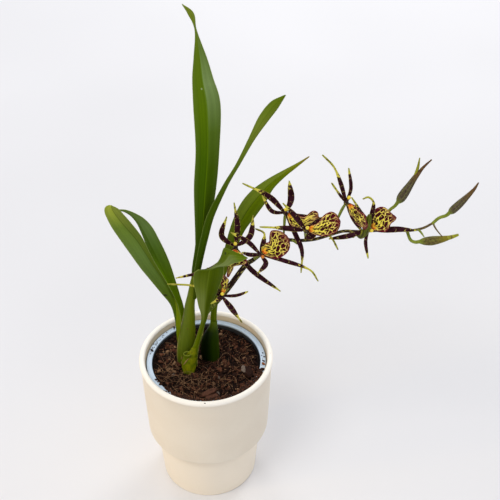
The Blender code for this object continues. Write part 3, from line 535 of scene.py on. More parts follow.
def paint(red, green, blue):
    """A colour as it looks on screen, 0 to 255, turned into shader values."""
    shown = [red / 255, green / 255, blue / 255]
    return (*[((c + 0.055) / 1.055) ** 2.4 if c > 0.04045 else c / 12.92 for c in shown], 1)


class Look:
    """One material, with short calls for the nodes of its colour, roughness and bump."""

    def __init__(self, name, ior, gloss=0.5):
        self.material = bpy.data.materials.new(name)
        self.material.use_nodes = True
        self.tree = self.material.node_tree
        self.shader = self.tree.nodes["Principled BSDF"].inputs
        self.shader["IOR"].default_value = ior
        self.shader["Specular IOR Level"].default_value = gloss

    def feed(self, socket, value):
        if isinstance(value, bpy.types.NodeSocket):
            self.tree.links.new(value, socket)
        else:
            socket.default_value = value

    def node(self, kind, settings=None, **inputs):
        made = self.tree.nodes.new("ShaderNode" + kind)
        for key, value in (settings or {}).items():
            setattr(made, key, value)
        for key, value in inputs.items():
            self.feed(made.inputs[key], value)
        return made

    def place(self, kind="Object"):
        return self.node("TexCoord").outputs[kind]

    def axis(self, name, kind="Object"):
        return self.node("SeparateXYZ", Vector=self.place(kind)).outputs[name]

    def across(self):
        """The UV's first number: from one edge of a blade to the other, or round a stem."""
        return self.axis("X", "UV")

    def along(self):
        """The UV's second number: from foot to tip."""
        return self.axis("Y", "UV")

    def math(self, operation, *values):
        made = self.node("Math", {"operation": operation})
        for socket, value in zip(made.inputs, values):
            self.feed(socket, value)
        return made.outputs[0]

    def plus(self, first, second):
        return self.math("ADD", first, second)

    def minus(self, first, second):
        return self.math("SUBTRACT", first, second)

    def times(self, first, second):
        return self.math("MULTIPLY", first, second)

    def off_middle(self, value):
        return self.math("ABSOLUTE", self.minus(value, 0.5))

    def noise(self, vector, scale, detail=3, roughness=0.5):
        settings = dict(Scale=scale, Detail=detail, Roughness=roughness)
        return self.node("TexNoise", Vector=vector, **settings).outputs[0]

    def cloud(self, scale, detail=3, roughness=0.5):
        """Noise in the object's own space."""
        return self.noise(self.place(), scale, detail, roughness)

    def grid(self, over, length, shift=(0, 0, 0)):
        """The UV, stretched across and along."""
        scale = (over, length, 1)
        return self.node("Mapping", Vector=self.place("UV"), Scale=scale, Location=shift).outputs[0]

    def streaks(self, over, length, detail=3, roughness=0.5):
        """Noise that follows the UV, with this many grains across and along."""
        return self.noise(self.grid(over, length), 1, detail, roughness)

    def ramp(self, value, *stops):
        """Along a value: rows of position and grey level, or of position, red, green and blue."""
        made = self.node("ValToRGB", Fac=value)
        band = made.color_ramp.elements
        for number, (position, *tone) in enumerate(stops):
            stop = band[number] if number < 2 else band.new(position)
            stop.position = position
            stop.color = paint(*tone) if len(tone) == 3 else (*tone * 3, 1)
        return made.outputs["Color"]

    def mix(self, factor, first, second, blend="MIX"):
        made = self.node("Mix", {"data_type": "RGBA", "blend_type": blend})
        for index, value in ((0, factor), (6, first), (7, second)):
            self.feed(made.inputs[index], paint(*value) if isinstance(value, tuple) else value)
        return made.outputs[2]

    def cover(self, body, value, start, end, colour):
        """Lays a colour over the body, as strongly as the value's place between two grey stops says."""
        return self.mix(self.ramp(value, start, end), body, colour)

    def shade(self, body, value, start, end):
        """Darkens the body by the grey between two stops."""
        return self.mix(1, body, self.ramp(value, start, end), "MULTIPLY")

    def done(self, colour, rough, height=None, distance=0, strength=0):
        self.feed(self.shader["Base Color"], colour)
        self.feed(self.shader["Roughness"], rough)
        if height is not None:
            bump = self.node("Bump", Height=height, Distance=distance, Strength=strength)
            self.feed(self.shader["Normal"], bump.outputs[0])
        return self.material


def pot_look():
    """Cream glaze, with a painted highlight on the rim's bead, painted light that makes the foot paler, and
    painted shade, darker and warmer, on the inner wall.
    """
    look = Look("pot_glaze", 1.45, 0.3)
    body = look.ramp(look.cloud(18, 4), (0.35, 232, 220, 201), (0.65, 236, 225, 207))
    height = look.times(look.axis("Z"), 5)
    # Painted highlight: the rim's bead is made paler where light from above falls on it.
    body = look.cover(body, height, (0.815, 0), (0.835, 1), (254, 248, 238))
    # Painted light: the foot, which faces down and gets less light, is made paler; the glaze there is the
    # same colour.
    body = look.cover(body, height, (0.26, 0.9), (0.338, 0), (246, 234, 215))
    # Painted shade: the inner wall is made darker and warmer where shade falls inside the pot.
    body = look.cover(body, look.along(), (0.795, 0), (0.812, 1), (224, 205, 175))
    specks = look.times(look.ramp(look.cloud(900, 2), (0.69, 0), (0.74, 1)), 0.25)
    rough = look.ramp(look.cloud(60), (0.3, 0.42), (0.7, 0.54))
    return look.done(look.mix(specks, body, (190, 170, 140)), rough, look.cloud(260, 4), 0.00012, 0.35)


def liner_look():
    """Pale plastic on the lip, with the wall under it painted dark grey as shade."""
    look = Look("liner_plastic", 1.46)
    wall, lip = [5 * (LINER_TOP - depth) * MM for depth in (2.4, 0.9)]
    # Painted shade: the plastic below the lip is made dark grey, as the wall in the pot's shade.
    body = look.ramp(look.times(look.axis("Z"), 5), (wall, 56, 56, 58), (lip, 196, 214, 232))
    body = look.cover(body, look.cloud(420, 4, 0.7), (0.6, 0), (0.75, 0.35), (95, 78, 66))
    rough = look.ramp(look.cloud(120), (0.3, 0.35), (0.7, 0.5))
    return look.done(body, rough, look.cloud(500), 0.0001, 0.2)


def leaf_look(name, left, right, sharp, rib, marks=()):
    """Green with painted light and shade on its halves, fine veins, a midrib, painted sheen on the margins
    and painted highlights on the edges.
    """
    look = Look(name, 1.42, 0.03)
    across, along = look.across(), look.along()
    # Painted light and shade: each half gets its own greens, lighter on the lit half and darker on the
    # shaded one.
    halves = look.ramp(across, (0.5 - sharp, 0), (0.5 + sharp, 1))
    body = look.mix(halves, look.ramp(along, *left), look.ramp(along, *right))
    side = look.off_middle(across)
    # Painted sheen: a greyer green laid over the margins.
    body = look.cover(body, side, (0.28, 0), (0.47, 0.3), (98, 116, 52))
    veins = look.streaks(38, 0.7, 5, 0.65)
    bands = look.streaks(8, 0.5, 2)
    body = look.shade(body, veins, (0.35, 1), (0.7, 0.79))
    body = look.shade(body, bands, (0.35, 1), (0.7, 0.86))
    body = look.cover(body, side, (0, 0.8), (0.035, 0), rib)
    # Painted highlight: a pale line along both edges of the blade.
    body = look.cover(body, side, (0.475, 0), (0.495, 0.55), (158, 166, 86))
    body = look.cover(body, look.cloud(330, 3, 0.6), (0.69, 0), (0.77, 0.3), (60, 52, 22))
    for place, size, strength, colour in marks:
        squares = []
        for lane, middle, wide in zip((across, along), place, size):
            offset = look.math("DIVIDE", look.minus(lane, middle), wide)
            squares.append(look.math("POWER", look.math("ABSOLUTE", offset), 2))
        reach = look.plus(look.plus(*squares), look.times(look.cloud(700, 2), 0.8))
        body = look.cover(body, reach, (0.72, strength), (1, 0), colour)
    rough = look.ramp(veins, (0.3, 0.36), (0.7, 0.5))
    return look.done(body, rough, look.plus(veins, look.times(bands, 1.5)), 0.0003, 0.45)


def sheath_look():
    """Lined green, yellower at its left side, with scorched specks and a dry left margin."""
    look = Look("sheath_green", 1.42, 0.1)
    along = look.along()
    body = look.ramp(along, (0, 70, 84, 10), (0.3, 90, 106, 20), (0.6, 100, 116, 24), (1, 114, 126, 28))
    body = look.cover(body, look.times(look.axis("X"), -20), (0.24, 1), (0.36, 0), (112, 126, 8))
    lines = look.streaks(46, 1.6, 4, 0.6)
    body = look.shade(body, lines, (0.35, 1), (0.7, 0.74))
    body = look.cover(body, look.cloud(160), (0.56, 0), (0.72, 0.35), (112, 118, 30))
    body = look.cover(body, look.cloud(240, 2), (0.7, 0), (0.75, 0.6), (96, 74, 30))
    margin = look.ramp(look.across(), (0.03, 0.9), (0.13, 0))
    dry = look.times(margin, look.ramp(along, (0.42, 1), (0.6, 0)))
    rough = look.ramp(lines, (0.3, 0.42), (0.7, 0.55))
    return look.done(look.mix(dry, body, (160, 138, 92)), rough, lines, 0.0004, 0.5)


def front_bulb_look():
    """Blotched yellow-green with dark lengthwise lines and brown flecks."""
    look = Look("bulb_yellow", 1.42, 0.12)
    body = look.ramp(look.cloud(110), (0.38, 90, 106, 2), (0.52, 130, 134, 10), (0.66, 82, 98, 0))
    body = look.cover(body, look.along(), (0.1, 1), (0.3, 0), (86, 96, 2))
    lines = look.streaks(30, 1.2, 4)
    body = look.shade(body, lines, (0.4, 1), (0.7, 0.7))
    body = look.cover(body, look.cloud(300), (0.6, 0), (0.68, 0.7), (84, 58, 20))
    return look.done(body, look.ramp(lines, (0.3, 0.42), (0.7, 0.58)), lines, 0.0004, 0.6)


def scar_look():
    """The ring that a cut leaf left: green outside, pale on its edge and darker inside."""
    look = Look("bulb_scar", 1.4, 0.1)
    cloud = look.cloud(260, 4)
    reach = look.plus(look.along(), look.times(look.minus(cloud, 0.5), 0.15))
    stops = [(0.25, 88, 104, 4), (0.42, 132, 142, 50), (0.62, 120, 130, 40), (0.76, 84, 94, 20)]
    return look.done(look.ramp(reach, *stops), look.ramp(cloud, (0.3, 0.45), (0.7, 0.6)), cloud, 0.0004, 0.5)


def back_bulb_look():
    """Dark green painted nearly black at the left as shade, with a lighter neck."""
    look = Look("bulb_green", 1.44, 0.12)
    # Painted shade: the colour turns nearly black towards the left, where the bulb is in shade.
    reach = look.times(look.axis("X"), 60)
    body = look.ramp(reach, (0.1, 9, 24, 0), (0.45, 31, 50, 1), (0.8, 46, 66, 4))
    body = look.cover(body, look.along(), (0.7, 0), (0.96, 1), (86, 104, 2))
    lines = look.streaks(24, 0.9, 4)
    body = look.shade(body, lines, (0.4, 1), (0.72, 0.66))
    return look.done(body, look.ramp(lines, (0.3, 0.3), (0.7, 0.42)), lines, 0.0004, 0.45)


def stalk_look():
    """Green at the foot, near black between the flowers and olive again towards the buds."""
    look = Look("stalk_skin", 1.4, 0.12)
    stops = [(0.045, 84, 100, 24), (0.07, 38, 20, 14), (0.5, 42, 22, 20), (0.68, 74, 54, 42)]
    body = look.ramp(look.times(look.axis("X"), 4), *stops, (0.84, 86, 66, 46))
    body = look.cover(body, look.streaks(5, 90, 3, 0.6), (0.54, 0), (0.62, 0.85), (188, 176, 96))
    mottle = look.cloud(210, 4, 0.6)
    body = look.cover(body, mottle, (0.52, 0), (0.68, 0.4), (96, 92, 50))
    return look.done(body, 0.5, mottle, 0.0003, 0.4)


def tepal_look():
    """Near-black petal with lighter violet patches of painted sheen, thin yellow bars and edges, and a
    yellow-green tail.
    """
    look = Look("tepal_dark", 1.4, 0.06)
    along = look.along()
    # Painted sheen: the lighter violet tones over the near-black stand for the petal's sheen.
    sheen_cloud = look.cloud(240, 4)
    dark = look.ramp(sheen_cloud, (0.35, 36, 8, 14), (0.58, 54, 20, 30), (0.75, 74, 40, 50))
    side = look.off_middle(look.across())
    bend = look.plus(look.times(side, 0.05), look.times(look.cloud(330, 2), 0.06))
    bars = look.math("FRACT", look.times(look.plus(along, bend), 8.7))
    broken = look.ramp(look.cloud(380, 2), (0.46, 0), (0.53, 1))
    bar = look.times(look.ramp(bars, (0, 0.9), (0.08, 0)), broken)
    body = look.mix(bar, dark, (206, 190, 104))
    dashes = look.ramp(look.cloud(300, 2), (0.45, 0), (0.55, 1))
    margin = look.times(look.ramp(side, (0.42, 0), (0.47, 0.8)), dashes)
    body = look.mix(margin, body, (196, 176, 92))
    reach = look.plus(along, look.times(look.minus(look.cloud(420), 0.5), 0.55))
    patches = look.ramp(look.cloud(330, 2), (0.55, 1), (0.61, 0.3))
    ending = look.times(look.ramp(reach, (0.49, 0), (0.54, 1)), patches)
    yellow = look.ramp(along, (0.5, 222, 208, 84), (0.75, 184, 180, 68), (1, 156, 154, 58))
    rough = look.ramp(sheen_cloud, (0.3, 0.42), (0.7, 0.6))
    return look.done(look.mix(ending, body, yellow), rough, sheen_cloud, 0.0003, 0.35)


def lip_look(number, strength, over, length):
    """A yellow net over maroon blotches that turns pink on red near the margin."""
    look = Look(f"lip_mottle_{number}", 1.4, 0.1)
    across, along = look.across(), look.along()
    grid = look.grid(over, length, (3.7 * number, 5.1 * number, 0))
    warp = look.node("VectorMath", {"operation": "ADD"})
    look.feed(warp.inputs[0], grid)
    look.feed(warp.inputs[1], look.node("TexNoise", Vector=grid, Scale=0.9, Detail=1).outputs["Color"])
    warped = warp.outputs[0]
    cells = look.node("TexVoronoi", {"feature": "DISTANCE_TO_EDGE"}, Vector=warped, Scale=1).outputs[0]
    side = look.math("ABSOLUTE", look.times(look.minus(across, 0.5), 2))
    rim = look.math("MAXIMUM", side, along)
    uneven = look.ramp(look.noise(grid, 0.8, 1), (0.38, 0.1), (0.56, 1))
    room = look.math("MINIMUM", look.minus(1.35, rim), 0.68)
    lines = look.times(room, look.times(uneven, strength))
    bare = look.ramp(rim, (0.2, 0.41), (0.5, 0.37), (0.75, 0.31))
    island = look.minus(look.noise(warped, 1.1, 1), bare)
    narrow = look.math("MINIMUM", look.minus(cells, lines), look.times(island, 1.8))
    ground = look.ramp(rim, (0.5, 244, 224, 84), (0.8, 240, 214, 108), (0.95, 216, 152, 112))
    stain = look.ramp(rim, (0.3, 44, 2, 10), (0.75, 72, 8, 20), (1, 106, 24, 36))
    body = look.mix(look.ramp(narrow, (0, 0), (0.035, 1)), ground, stain)
    body = look.cover(body, rim, (0.88, 0), (0.98, 0.8), (104, 24, 36))
    near = look.ramp(along, (0.03, 1), (0.11, 0))
    near = look.times(near, look.ramp(side, (0.3, 1), (0.7, 0)))
    return look.done(look.mix(near, body, (240, 196, 40)), 0.5, cells, 0.0004, 0.4)


def callus_look():
    """Red-orange at the throat that turns yellow outwards."""
    look = Look("callus_orange", 1.42, 0.3)
    blush = look.cloud(420, 2)
    reach = look.plus(look.along(), look.times(look.minus(blush, 0.5), 0.9))
    body = look.ramp(reach, (0.12, 186, 56, 10), (0.42, 234, 126, 18), (0.72, 248, 192, 52))
    return look.done(body, 0.4, blush, 0.0002, 0.3)


def column_look(name, low, high):
    """Dark brown at the foot, then the cap's colour, with a few red dots."""
    look = Look(name, 1.42, 0.4)
    body = look.ramp(look.along(), (0, 46, 26, 26), (0.42, 60, 30, 24), (0.55, *low), (1, *high))
    body = look.cover(body, look.cloud(700, 2), (0.62, 0), (0.66, 0.8), (120, 40, 26))
    return look.done(body, 0.42, look.cloud(500), 0.0002, 0.3)


def bud_look(name, low, high, end):
    """Speckled, ribbed lengthwise, with green seams and foot."""
    look = Look(name, 1.4, 0.1)
    along = look.along()
    speckle = look.cloud(520, 4, 0.7)
    lines = look.streaks(26, 1.5, 2)
    dark = look.ramp(speckle, (0.38, *low), (0.6, *high))
    dark = look.cover(dark, lines, (0.5, 0), (0.66, 0.6), (122, 116, 70))
    dark = look.cover(dark, along, (0.6, 0), (0.85, 0.8), end)
    green = look.ramp(speckle, (0.4, 108, 120, 38), (0.65, 138, 150, 58))
    seams = look.off_middle(look.math("FRACT", look.times(look.across(), 3)))
    seams = look.ramp(seams, (0.04, 0.4), (0.1, 0))
    foot = look.ramp(along, (0.08, 1), (0.3, 0))
    body = look.mix(look.math("MAXIMUM", seams, foot), dark, green)
    return look.done(body, 0.5, look.plus(speckle, lines), 0.0004, 0.45)


def pedicel_look():
    look = Look("pedicel_green", 1.4, 0.12)
    cloud = look.cloud(160, 4)
    body = look.ramp(cloud, (0.35, 112, 124, 36), (0.6, 140, 150, 60), (0.72, 92, 80, 46))
    return look.done(body, 0.5, cloud, 0.0003, 0.4)


def heart_look():
    look = Look("heart_dark", 1.4, 0.15)
    cloud = look.cloud(380)
    body = look.ramp(cloud, (0.4, 44, 26, 30), (0.56, 66, 52, 40), (0.66, 150, 140, 60))
    return look.done(body, 0.5, cloud, 0.0003, 0.3)


def beak_look(name, low, middle, high):
    look = Look(name, 1.4, 0.1)
    cloud = look.cloud(260, 4)
    body = look.ramp(cloud, (0.38, *low), (0.55, *middle), (0.68, *high))
    return look.done(body, 0.5, cloud, 0.0003, 0.35)


def ovary_look():
    """Olive with lengthwise yellow and dark lines."""
    look = Look("ovary_olive", 1.4, 0.12)
    lines = look.streaks(9, 2.5)
    body = look.ramp(lines, (0.4, 62, 60, 12), (0.54, 88, 98, 20), (0.66, 156, 152, 50))
    return look.done(body, 0.5, lines, 0.0003, 0.4)


def bark_look(name, low, high, scale):
    look = Look(name, 1.35, 0.18)
    grain = look.cloud(scale, 5, 0.7)
    rough = look.ramp(grain, (0.3, 0.75), (0.7, 0.95))
    return look.done(look.ramp(grain, (0.3, *low), (0.7, *high)), rough, grain, 0.0008, 0.7)


def floor_look():
    look = Look("floor_white", 1.3, 0.1)
    return look.done(look.ramp(look.cloud(1.4, 2), (0.3, 224, 223, 225), (0.7, 231, 230, 232)), 0.85)


def unit(vector):
    return vector / np.linalg.norm(vector)


def units(rows):
    return rows / np.linalg.norm(rows, axis=1, keepdims=True)


def polar(radius, angle):
    return radius * math.cos(angle), radius * math.sin(angle)


def smooth(controls, steps):
    """A Catmull-Rom curve through the control rows, with this many steps to a span."""
    rows = np.array(controls, float)
    rows = np.vstack([2 * rows[0] - rows[1], rows, 2 * rows[-1] - rows[-2]])
    made = []
    for a, b, c, d in zip(rows, rows[1:], rows[2:], rows[3:]):
        for t in np.arange(steps) / steps:
            bend = (a - 2.5 * b + 2 * c - 0.5 * d) * t**2
            made.append(b + 0.5 * (c - a) * t + bend + 0.5 * (3 * b - a - 3 * c + d) * t**3)
    made.append(rows[-2])
    return np.array(made)


def directions(path):
    """The unit heading at each point of a path."""
    return units(np.gradient(path, axis=0))


def sheet(upper, lower, uvs, row):
    """Closed faces over two grids of points that share one set of UVs."""
    under = len(upper)
    faces = []
    for start in range(0, under - row, row):
        for a in range(start, start + row - 1):
            b, c, d = a + 1, a + row + 1, a + row
            faces += [(a, b, c, d), (under + d, under + c, under + b, under + a)]
        for rim in (start, start + row - 1):
            faces.append((rim, rim + row, under + rim + row, under + rim))
    for end in (0, under - row):
        for k in range(end, end + row - 1):
            faces.append((k, k + 1, under + k + 1, under + k))
    return upper + lower, faces, uvs + uvs


def skin(rings):
    """Closed faces over rings of equal count, with capped ends; UVs run round and along."""
    count = len(rings[0])
    points = []
    uvs = []
    for number, ring in enumerate(rings):
        for k, point in enumerate(ring):
            points.append(tuple(point))
            uvs.append((abs(2 * k / count - 1), number / (len(rings) - 1)))
    faces = [tuple(range(count)), tuple(len(points) - count + k for k in range(count))]
    for start in range(0, len(points) - count, count):
        for k in range(count):
            nxt = (k + 1) % count
            faces.append((start + k, start + nxt, start + count + nxt, start + count + k))
    return points, faces, uvs


def lathe(profile, sides):
    """A closed profile of radius and height turned about Z; a radius of 0 closes an end."""
    points = []
    uvs = []
    rings = []
    for number, (radius, height) in enumerate(profile):
        count = sides if radius > 0 else 1
        rings.append((len(points), count))
        for k in range(count):
            angle = 2 * math.pi * k / sides
            points.append((*polar(radius, angle), height))
            uvs.append((k / sides, number / len(profile)))
    faces = []
    for (low, low_count), (high, high_count) in zip(rings, rings[1:]):
        for k in range(sides):
            under = [low + k % low_count, low + (k + 1) % low_count]
            over = [high + (k + 1) % high_count, high + k % high_count]
            faces.append(tuple(dict.fromkeys(under + over)))
    return points, faces, uvs


def tube(stations, sides, steps):
    """A round stem through x, y, z, radius stations."""
    rows = smooth(stations, steps)
    path = rows[:, :3]
    heading = directions(path)
    side = unit(np.cross(heading[0], FACE + 0.3 * RIGHT))
    rings = []
    for point, forward, radius in zip(path, heading, rows[:, 3]):
        side = unit(side - forward * side.dot(forward))
        other = np.cross(forward, side)
        turn = 2 * np.pi * np.arange(sides) / sides
        rings.append([point + radius * (math.cos(t) * side + math.sin(t) * other) for t in turn])
    return skin(rings)


def oval_loft(sections, sides, steps, pinch=0, ribs=0):
    """Level ovals at x, y, z, a, b; pinch draws their sides to an edge and ribs line them."""
    rings = []
    for x, y, z, a, b in smooth(sections, steps):
        ring = []
        for k in range(sides):
            t = 2 * math.pi * k / sides
            swell = 1 + ribs * math.sin(11 * t + 0.02 * z)
            depth = b * math.sin(t) * (1 - pinch * abs(math.cos(t)) ** 3)
            ring.append((x + a * swell * math.cos(t), y + swell * depth, z))
        rings.append(ring)
    return skin(rings)


# Where a leaf's lengthwise lines of points run: close together at its margins and its midrib
LANES = [-1, -0.985, -0.93, -0.82, -0.66, -0.48, -0.3, -0.15, -0.06, 0]
LANES = np.array(LANES + [-lane for lane in LANES[-2::-1]])


def reaches(path):
    """How far along the path each point lies, from 0 to 1."""
    steps = np.linalg.norm(np.diff(path, axis=0), axis=1)
    return np.concatenate([[0], np.cumsum(steps)]) / steps.sum()


def blade(path, halves, folds, thick, lanes, groove=0, wave=0, tail=0.5, ribs=None):
    """A thin leaf: a path, the half-width vector at each point, a soft V fold and the thickness.

    The ribs say where across the blade its midrib runs, from -1 to 1. The last part of the length,
    its tail, gets the upper half of the UV's second number.
    """
    middle, edge = thick
    ribs = np.zeros(len(path)) if ribs is None else ribs
    upper = []
    lower = []
    uvs = []
    rows = zip(path, directions(path), halves, folds, ribs, reaches(path))
    for point, forward, half, fold, rib, along in rows:
        normal = unit(np.cross(forward, half))
        reach = np.linalg.norm(half)
        mark = float(np.interp(along, (0, 1 - tail, 1), (0, 0.5, 1)))
        for lane in lanes:
            across = lane + rib * (1 - abs(lane))
            lift = fold * reach * (math.sqrt((across - rib) ** 2 + 0.012) - 0.11)
            lift += groove * math.exp(-((lane / 0.07) ** 2))
            lift += wave * lane**2 * math.sin(9 * math.pi * along + 2 * lane)
            place = point + half * across + normal * lift
            depth = 0.5 * (middle + (edge - middle) * abs(lane) ** 1.5)
            upper.append(place + normal * depth)
            lower.append(place - normal * depth)
            uvs.append(((lane + 1) / 2, mark))
    return sheet(upper, lower, uvs, len(lanes))


def leaf_shape(stations, fold, ribs):
    rows = smooth(stations, 9)
    path = rows[:, :3]
    angles = np.radians(rows[:, 4])
    level = np.stack([np.cos(angles), np.sin(angles), 0 * angles], axis=1)
    heading = directions(path)
    side = units(level - heading * np.sum(level * heading, axis=1, keepdims=True))
    halves = side * np.maximum(rows[:, 3:4], 0.6) / 2
    folds = np.linspace(*fold, len(path))
    lines = np.interp(reaches(path), *zip(*ribs))
    return blade(path, halves, folds, (1.2, 0.45), LANES, groove=0.22, wave=0.2, ribs=lines)


def bent_leaf_shape():
    left = smooth([pair[0] for pair in BENT_LEAF], 5)
    right = smooth([pair[1] for pair in BENT_LEAF], 5)
    folds = np.linspace(0.4, 0.05, len(left))
    return blade((left + right) / 2, (right - left) / 2, folds, (1.1, 0.45), LANES, groove=0.25, wave=0.12)


TEPAL_LANES = np.array([-1, -0.9, -0.6, -0.3, 0, 0.3, 0.6, 0.9, 1])


def tepal_shape(centre, points, width, tail):
    """A petal that starts inside the flower's heart, swells, and runs out to a thin tail."""
    start = np.array(centre, float) + unit(np.array(points[0], float)) * 0.8
    path = smooth([start] + [np.array(centre) + np.array(point) for point in points], 36 // len(points))
    along = reaches(path)
    swell = np.sin(np.pi * np.clip(along / min(0.95, 1.08 - tail), 0, 1)) ** 0.9
    wide = 1.9 + (width + 0.3 - 1.9) * swell
    wide = np.where(along < 0.05, 2, wide)
    wide *= 1 - 0.4 * np.clip((along - 0.9) / 0.1, 0, 1)
    side = units(np.cross(directions(path), FACE))
    folds = np.full(len(path), 0.3)
    thick = (0.95, 0.4)
    return blade(path, side * wide[:, None] / 2, folds, thick, TEPAL_LANES, 0.1, 0.22, max(tail, 0.02))


def heart_shape(centre):
    """The round knob at a flower's centre."""
    angles = np.radians(np.arange(-75, 76, 25))
    rows = [(*(np.array(centre) + FACE * 2.5 * math.sin(t)), 2.5 * math.cos(t)) for t in angles]
    return tube(rows, 14, 1)


def lip_frame(angle, roll):
    """A lip's own directions: outwards, to its side, and up from its face."""
    turn = math.radians(angle)
    out = math.cos(turn) * RIGHT + math.sin(turn) * FACE_UP
    across = np.cross(FACE, out)
    tilt = math.radians(roll)
    side = math.cos(tilt) * across + math.sin(tilt) * FACE
    top = math.cos(tilt) * FACE - math.sin(tilt) * across
    return out, side, top


def throat(centre, out):
    """Where the lip leaves the flower's heart."""
    return np.array(centre) + unit(0.45 * FACE + out) * 2.9


def lip_shape(centre, angle, roll, outline):
    """A broad waved lip inside its outline, raised in the middle, with an end that turns back."""
    out, across, top = lip_frame(angle, roll)
    start = throat(centre, out)
    length = outline[-1][0]
    upper = []
    lower = []
    uvs = []
    lanes = np.linspace(-1, 1, 27)
    for reach, low, high in smooth(outline, 4):
        t = reach / length
        half = (high - low) / 2
        lift = 2.6 * math.sin(math.pi * t) - 3.5 * t**3
        for lane in lanes:
            frill = 0.7 * abs(lane) ** 3 * math.sin(15 * t + 3 * lane) + 0.5 * t**6 * math.sin(9 * lane)
            fall = -0.16 * lane**2 * half
            aside = (low + high) / 2 + lane * half
            place = start + out * reach + across * aside + top * (lift + frill + fall)
            upper.append(place + top * 0.32)
            lower.append(place - top * 0.32)
            uvs.append(((lane + 1) / 2, t))
    return sheet(upper, lower, uvs, len(lanes))


def callus_shapes(centre, angle, roll, aside):
    """Two raised ridges at the throat of the lip and a small tooth between them."""
    out, across, top = lip_frame(angle, roll)
    start = throat(centre, out) + top * 1 + across * aside
    marks = ((0, 0.5), (0.3, 1.1), (0.7, 1.25), (1, 0.45))
    shapes = []
    for side, length in ((-1, 4.6), (1, 5.2), (0, 3.2)):
        base = start + across * 0.9 * side + out * 0.2
        tip = base + out * length + across * 1.3 * side + top * 0.5
        shapes.append(tube([(*(base + (tip - base) * t), radius) for t, radius in marks], 12, 4))
    return shapes


def column_shape(centre, cap):
    """The short column over the lip, with the swollen cap at its end."""
    reach = np.array(cap, float)
    length = np.linalg.norm(reach)
    heading = reach / length
    marks = [(1.6, 1.2), (0.4 * length, 1.15), (length - 2, 1.3)]
    marks += [(length - 0.6, 1.75), (length + 0.8, 1.5), (length + 1.6, 0.6)]
    rows = [(*(np.array(centre) + heading * along), radius) for along, radius in marks]
    return tube(rows, 14, 4)


def pedicel_stations(centre, root):
    """The flower's own stalk, thicker towards the flower, which it meets from behind."""
    centre = np.array(centre, float)
    root = np.array(root, float)
    back = unit(0.7 * unit(root - centre) - 0.7 * FACE)
    knee = centre + back * (2.6 + 0.35 * np.linalg.norm(root - centre))
    return [(*root, 1), (*(0.5 * (root + knee)), 1.05), (*knee, 1.45), (*(centre + back * 1.8), 1.25)]


def bud_stalk_stations(stalk, body):
    """The bud's own stalk, which runs into the foot of its body."""
    base = np.array(body[0][:3], float)
    heading = unit(np.array(body[1][:3]) - base)
    rows = [(*point, 1.5) for point in stalk]
    return rows + [(*(base - heading * 4), 1.6), (*(base + heading * 0.4), 1.8)]


def bract_shape(point, heading, length, width):
    """A small pointed scale that clasps the stalk."""
    heading = unit(np.array(heading, float))
    start = np.array(point, float)
    marks = np.linspace(0, 1, 9)
    path = np.array([start + heading * length * t + FACE * 0.8 * math.sin(2.4 * t) for t in marks])
    wide = width * np.sin(np.pi * np.linspace(0.35, 0.98, 9))
    side = units(np.cross(directions(path), FACE))
    return blade(path, side * wide[:, None] / 2, np.full(9, 0.5), (0.5, 0.3), TEPAL_LANES)


def place_object(name, data):
    made = bpy.data.objects.new(name, data)
    bpy.context.scene.collection.objects.link(made)
    return made


def piece(name, parts, looks, replaced, sharp=50):
    """One mesh object from shapes, each with the number of its look, that stands for CAD nodes."""
    points = []
    faces = []
    uvs = []
    numbers = []
    for shape, look in parts:
        start = len(points)
        points += [tuple(float(c) * MM for c in point) for point in shape[0]]
        faces += [tuple(start + corner for corner in face) for face in shape[1]]
        uvs += shape[2]
        numbers += [look] * len(shape[1])
    mesh = bpy.data.meshes.new(name)
    mesh.from_pydata(points, [], faces)
    for look in looks:
        mesh.materials.append(look)
    mesh.polygons.foreach_set("material_index", numbers)
    layer = mesh.uv_layers.new(name="UVMap")
    for loop in mesh.loops:
        layer.data[loop.index].uv = uvs[loop.vertex_index]
    shell = bmesh.new()
    shell.from_mesh(mesh)
    bmesh.ops.recalc_face_normals(shell, faces=shell.faces)
    shell.to_mesh(mesh)
    shell.free()
    mesh.shade_smooth()
    mesh.set_sharp_from_angle(angle=math.radians(sharp))
    made = place_object(name, mesh)
    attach(made, BODY)
    if replaced:
        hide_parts(*replaced)


def arc(centre, radius, start, end, count):
    """Profile points on a circle, angles in degrees."""
    made = []
    for k in range(count + 1):
        x, y = polar(radius, math.radians(start + (end - start) * k / count))
        made.append((centre[0] + x, centre[1] + y))
    return made


def liner_radius(height):
    """The nursery pot's outer radius below its lip."""
    return LINER_NECK_RADIUS - (LINER_NECK_HEIGHT - height) * LINER_TAPER


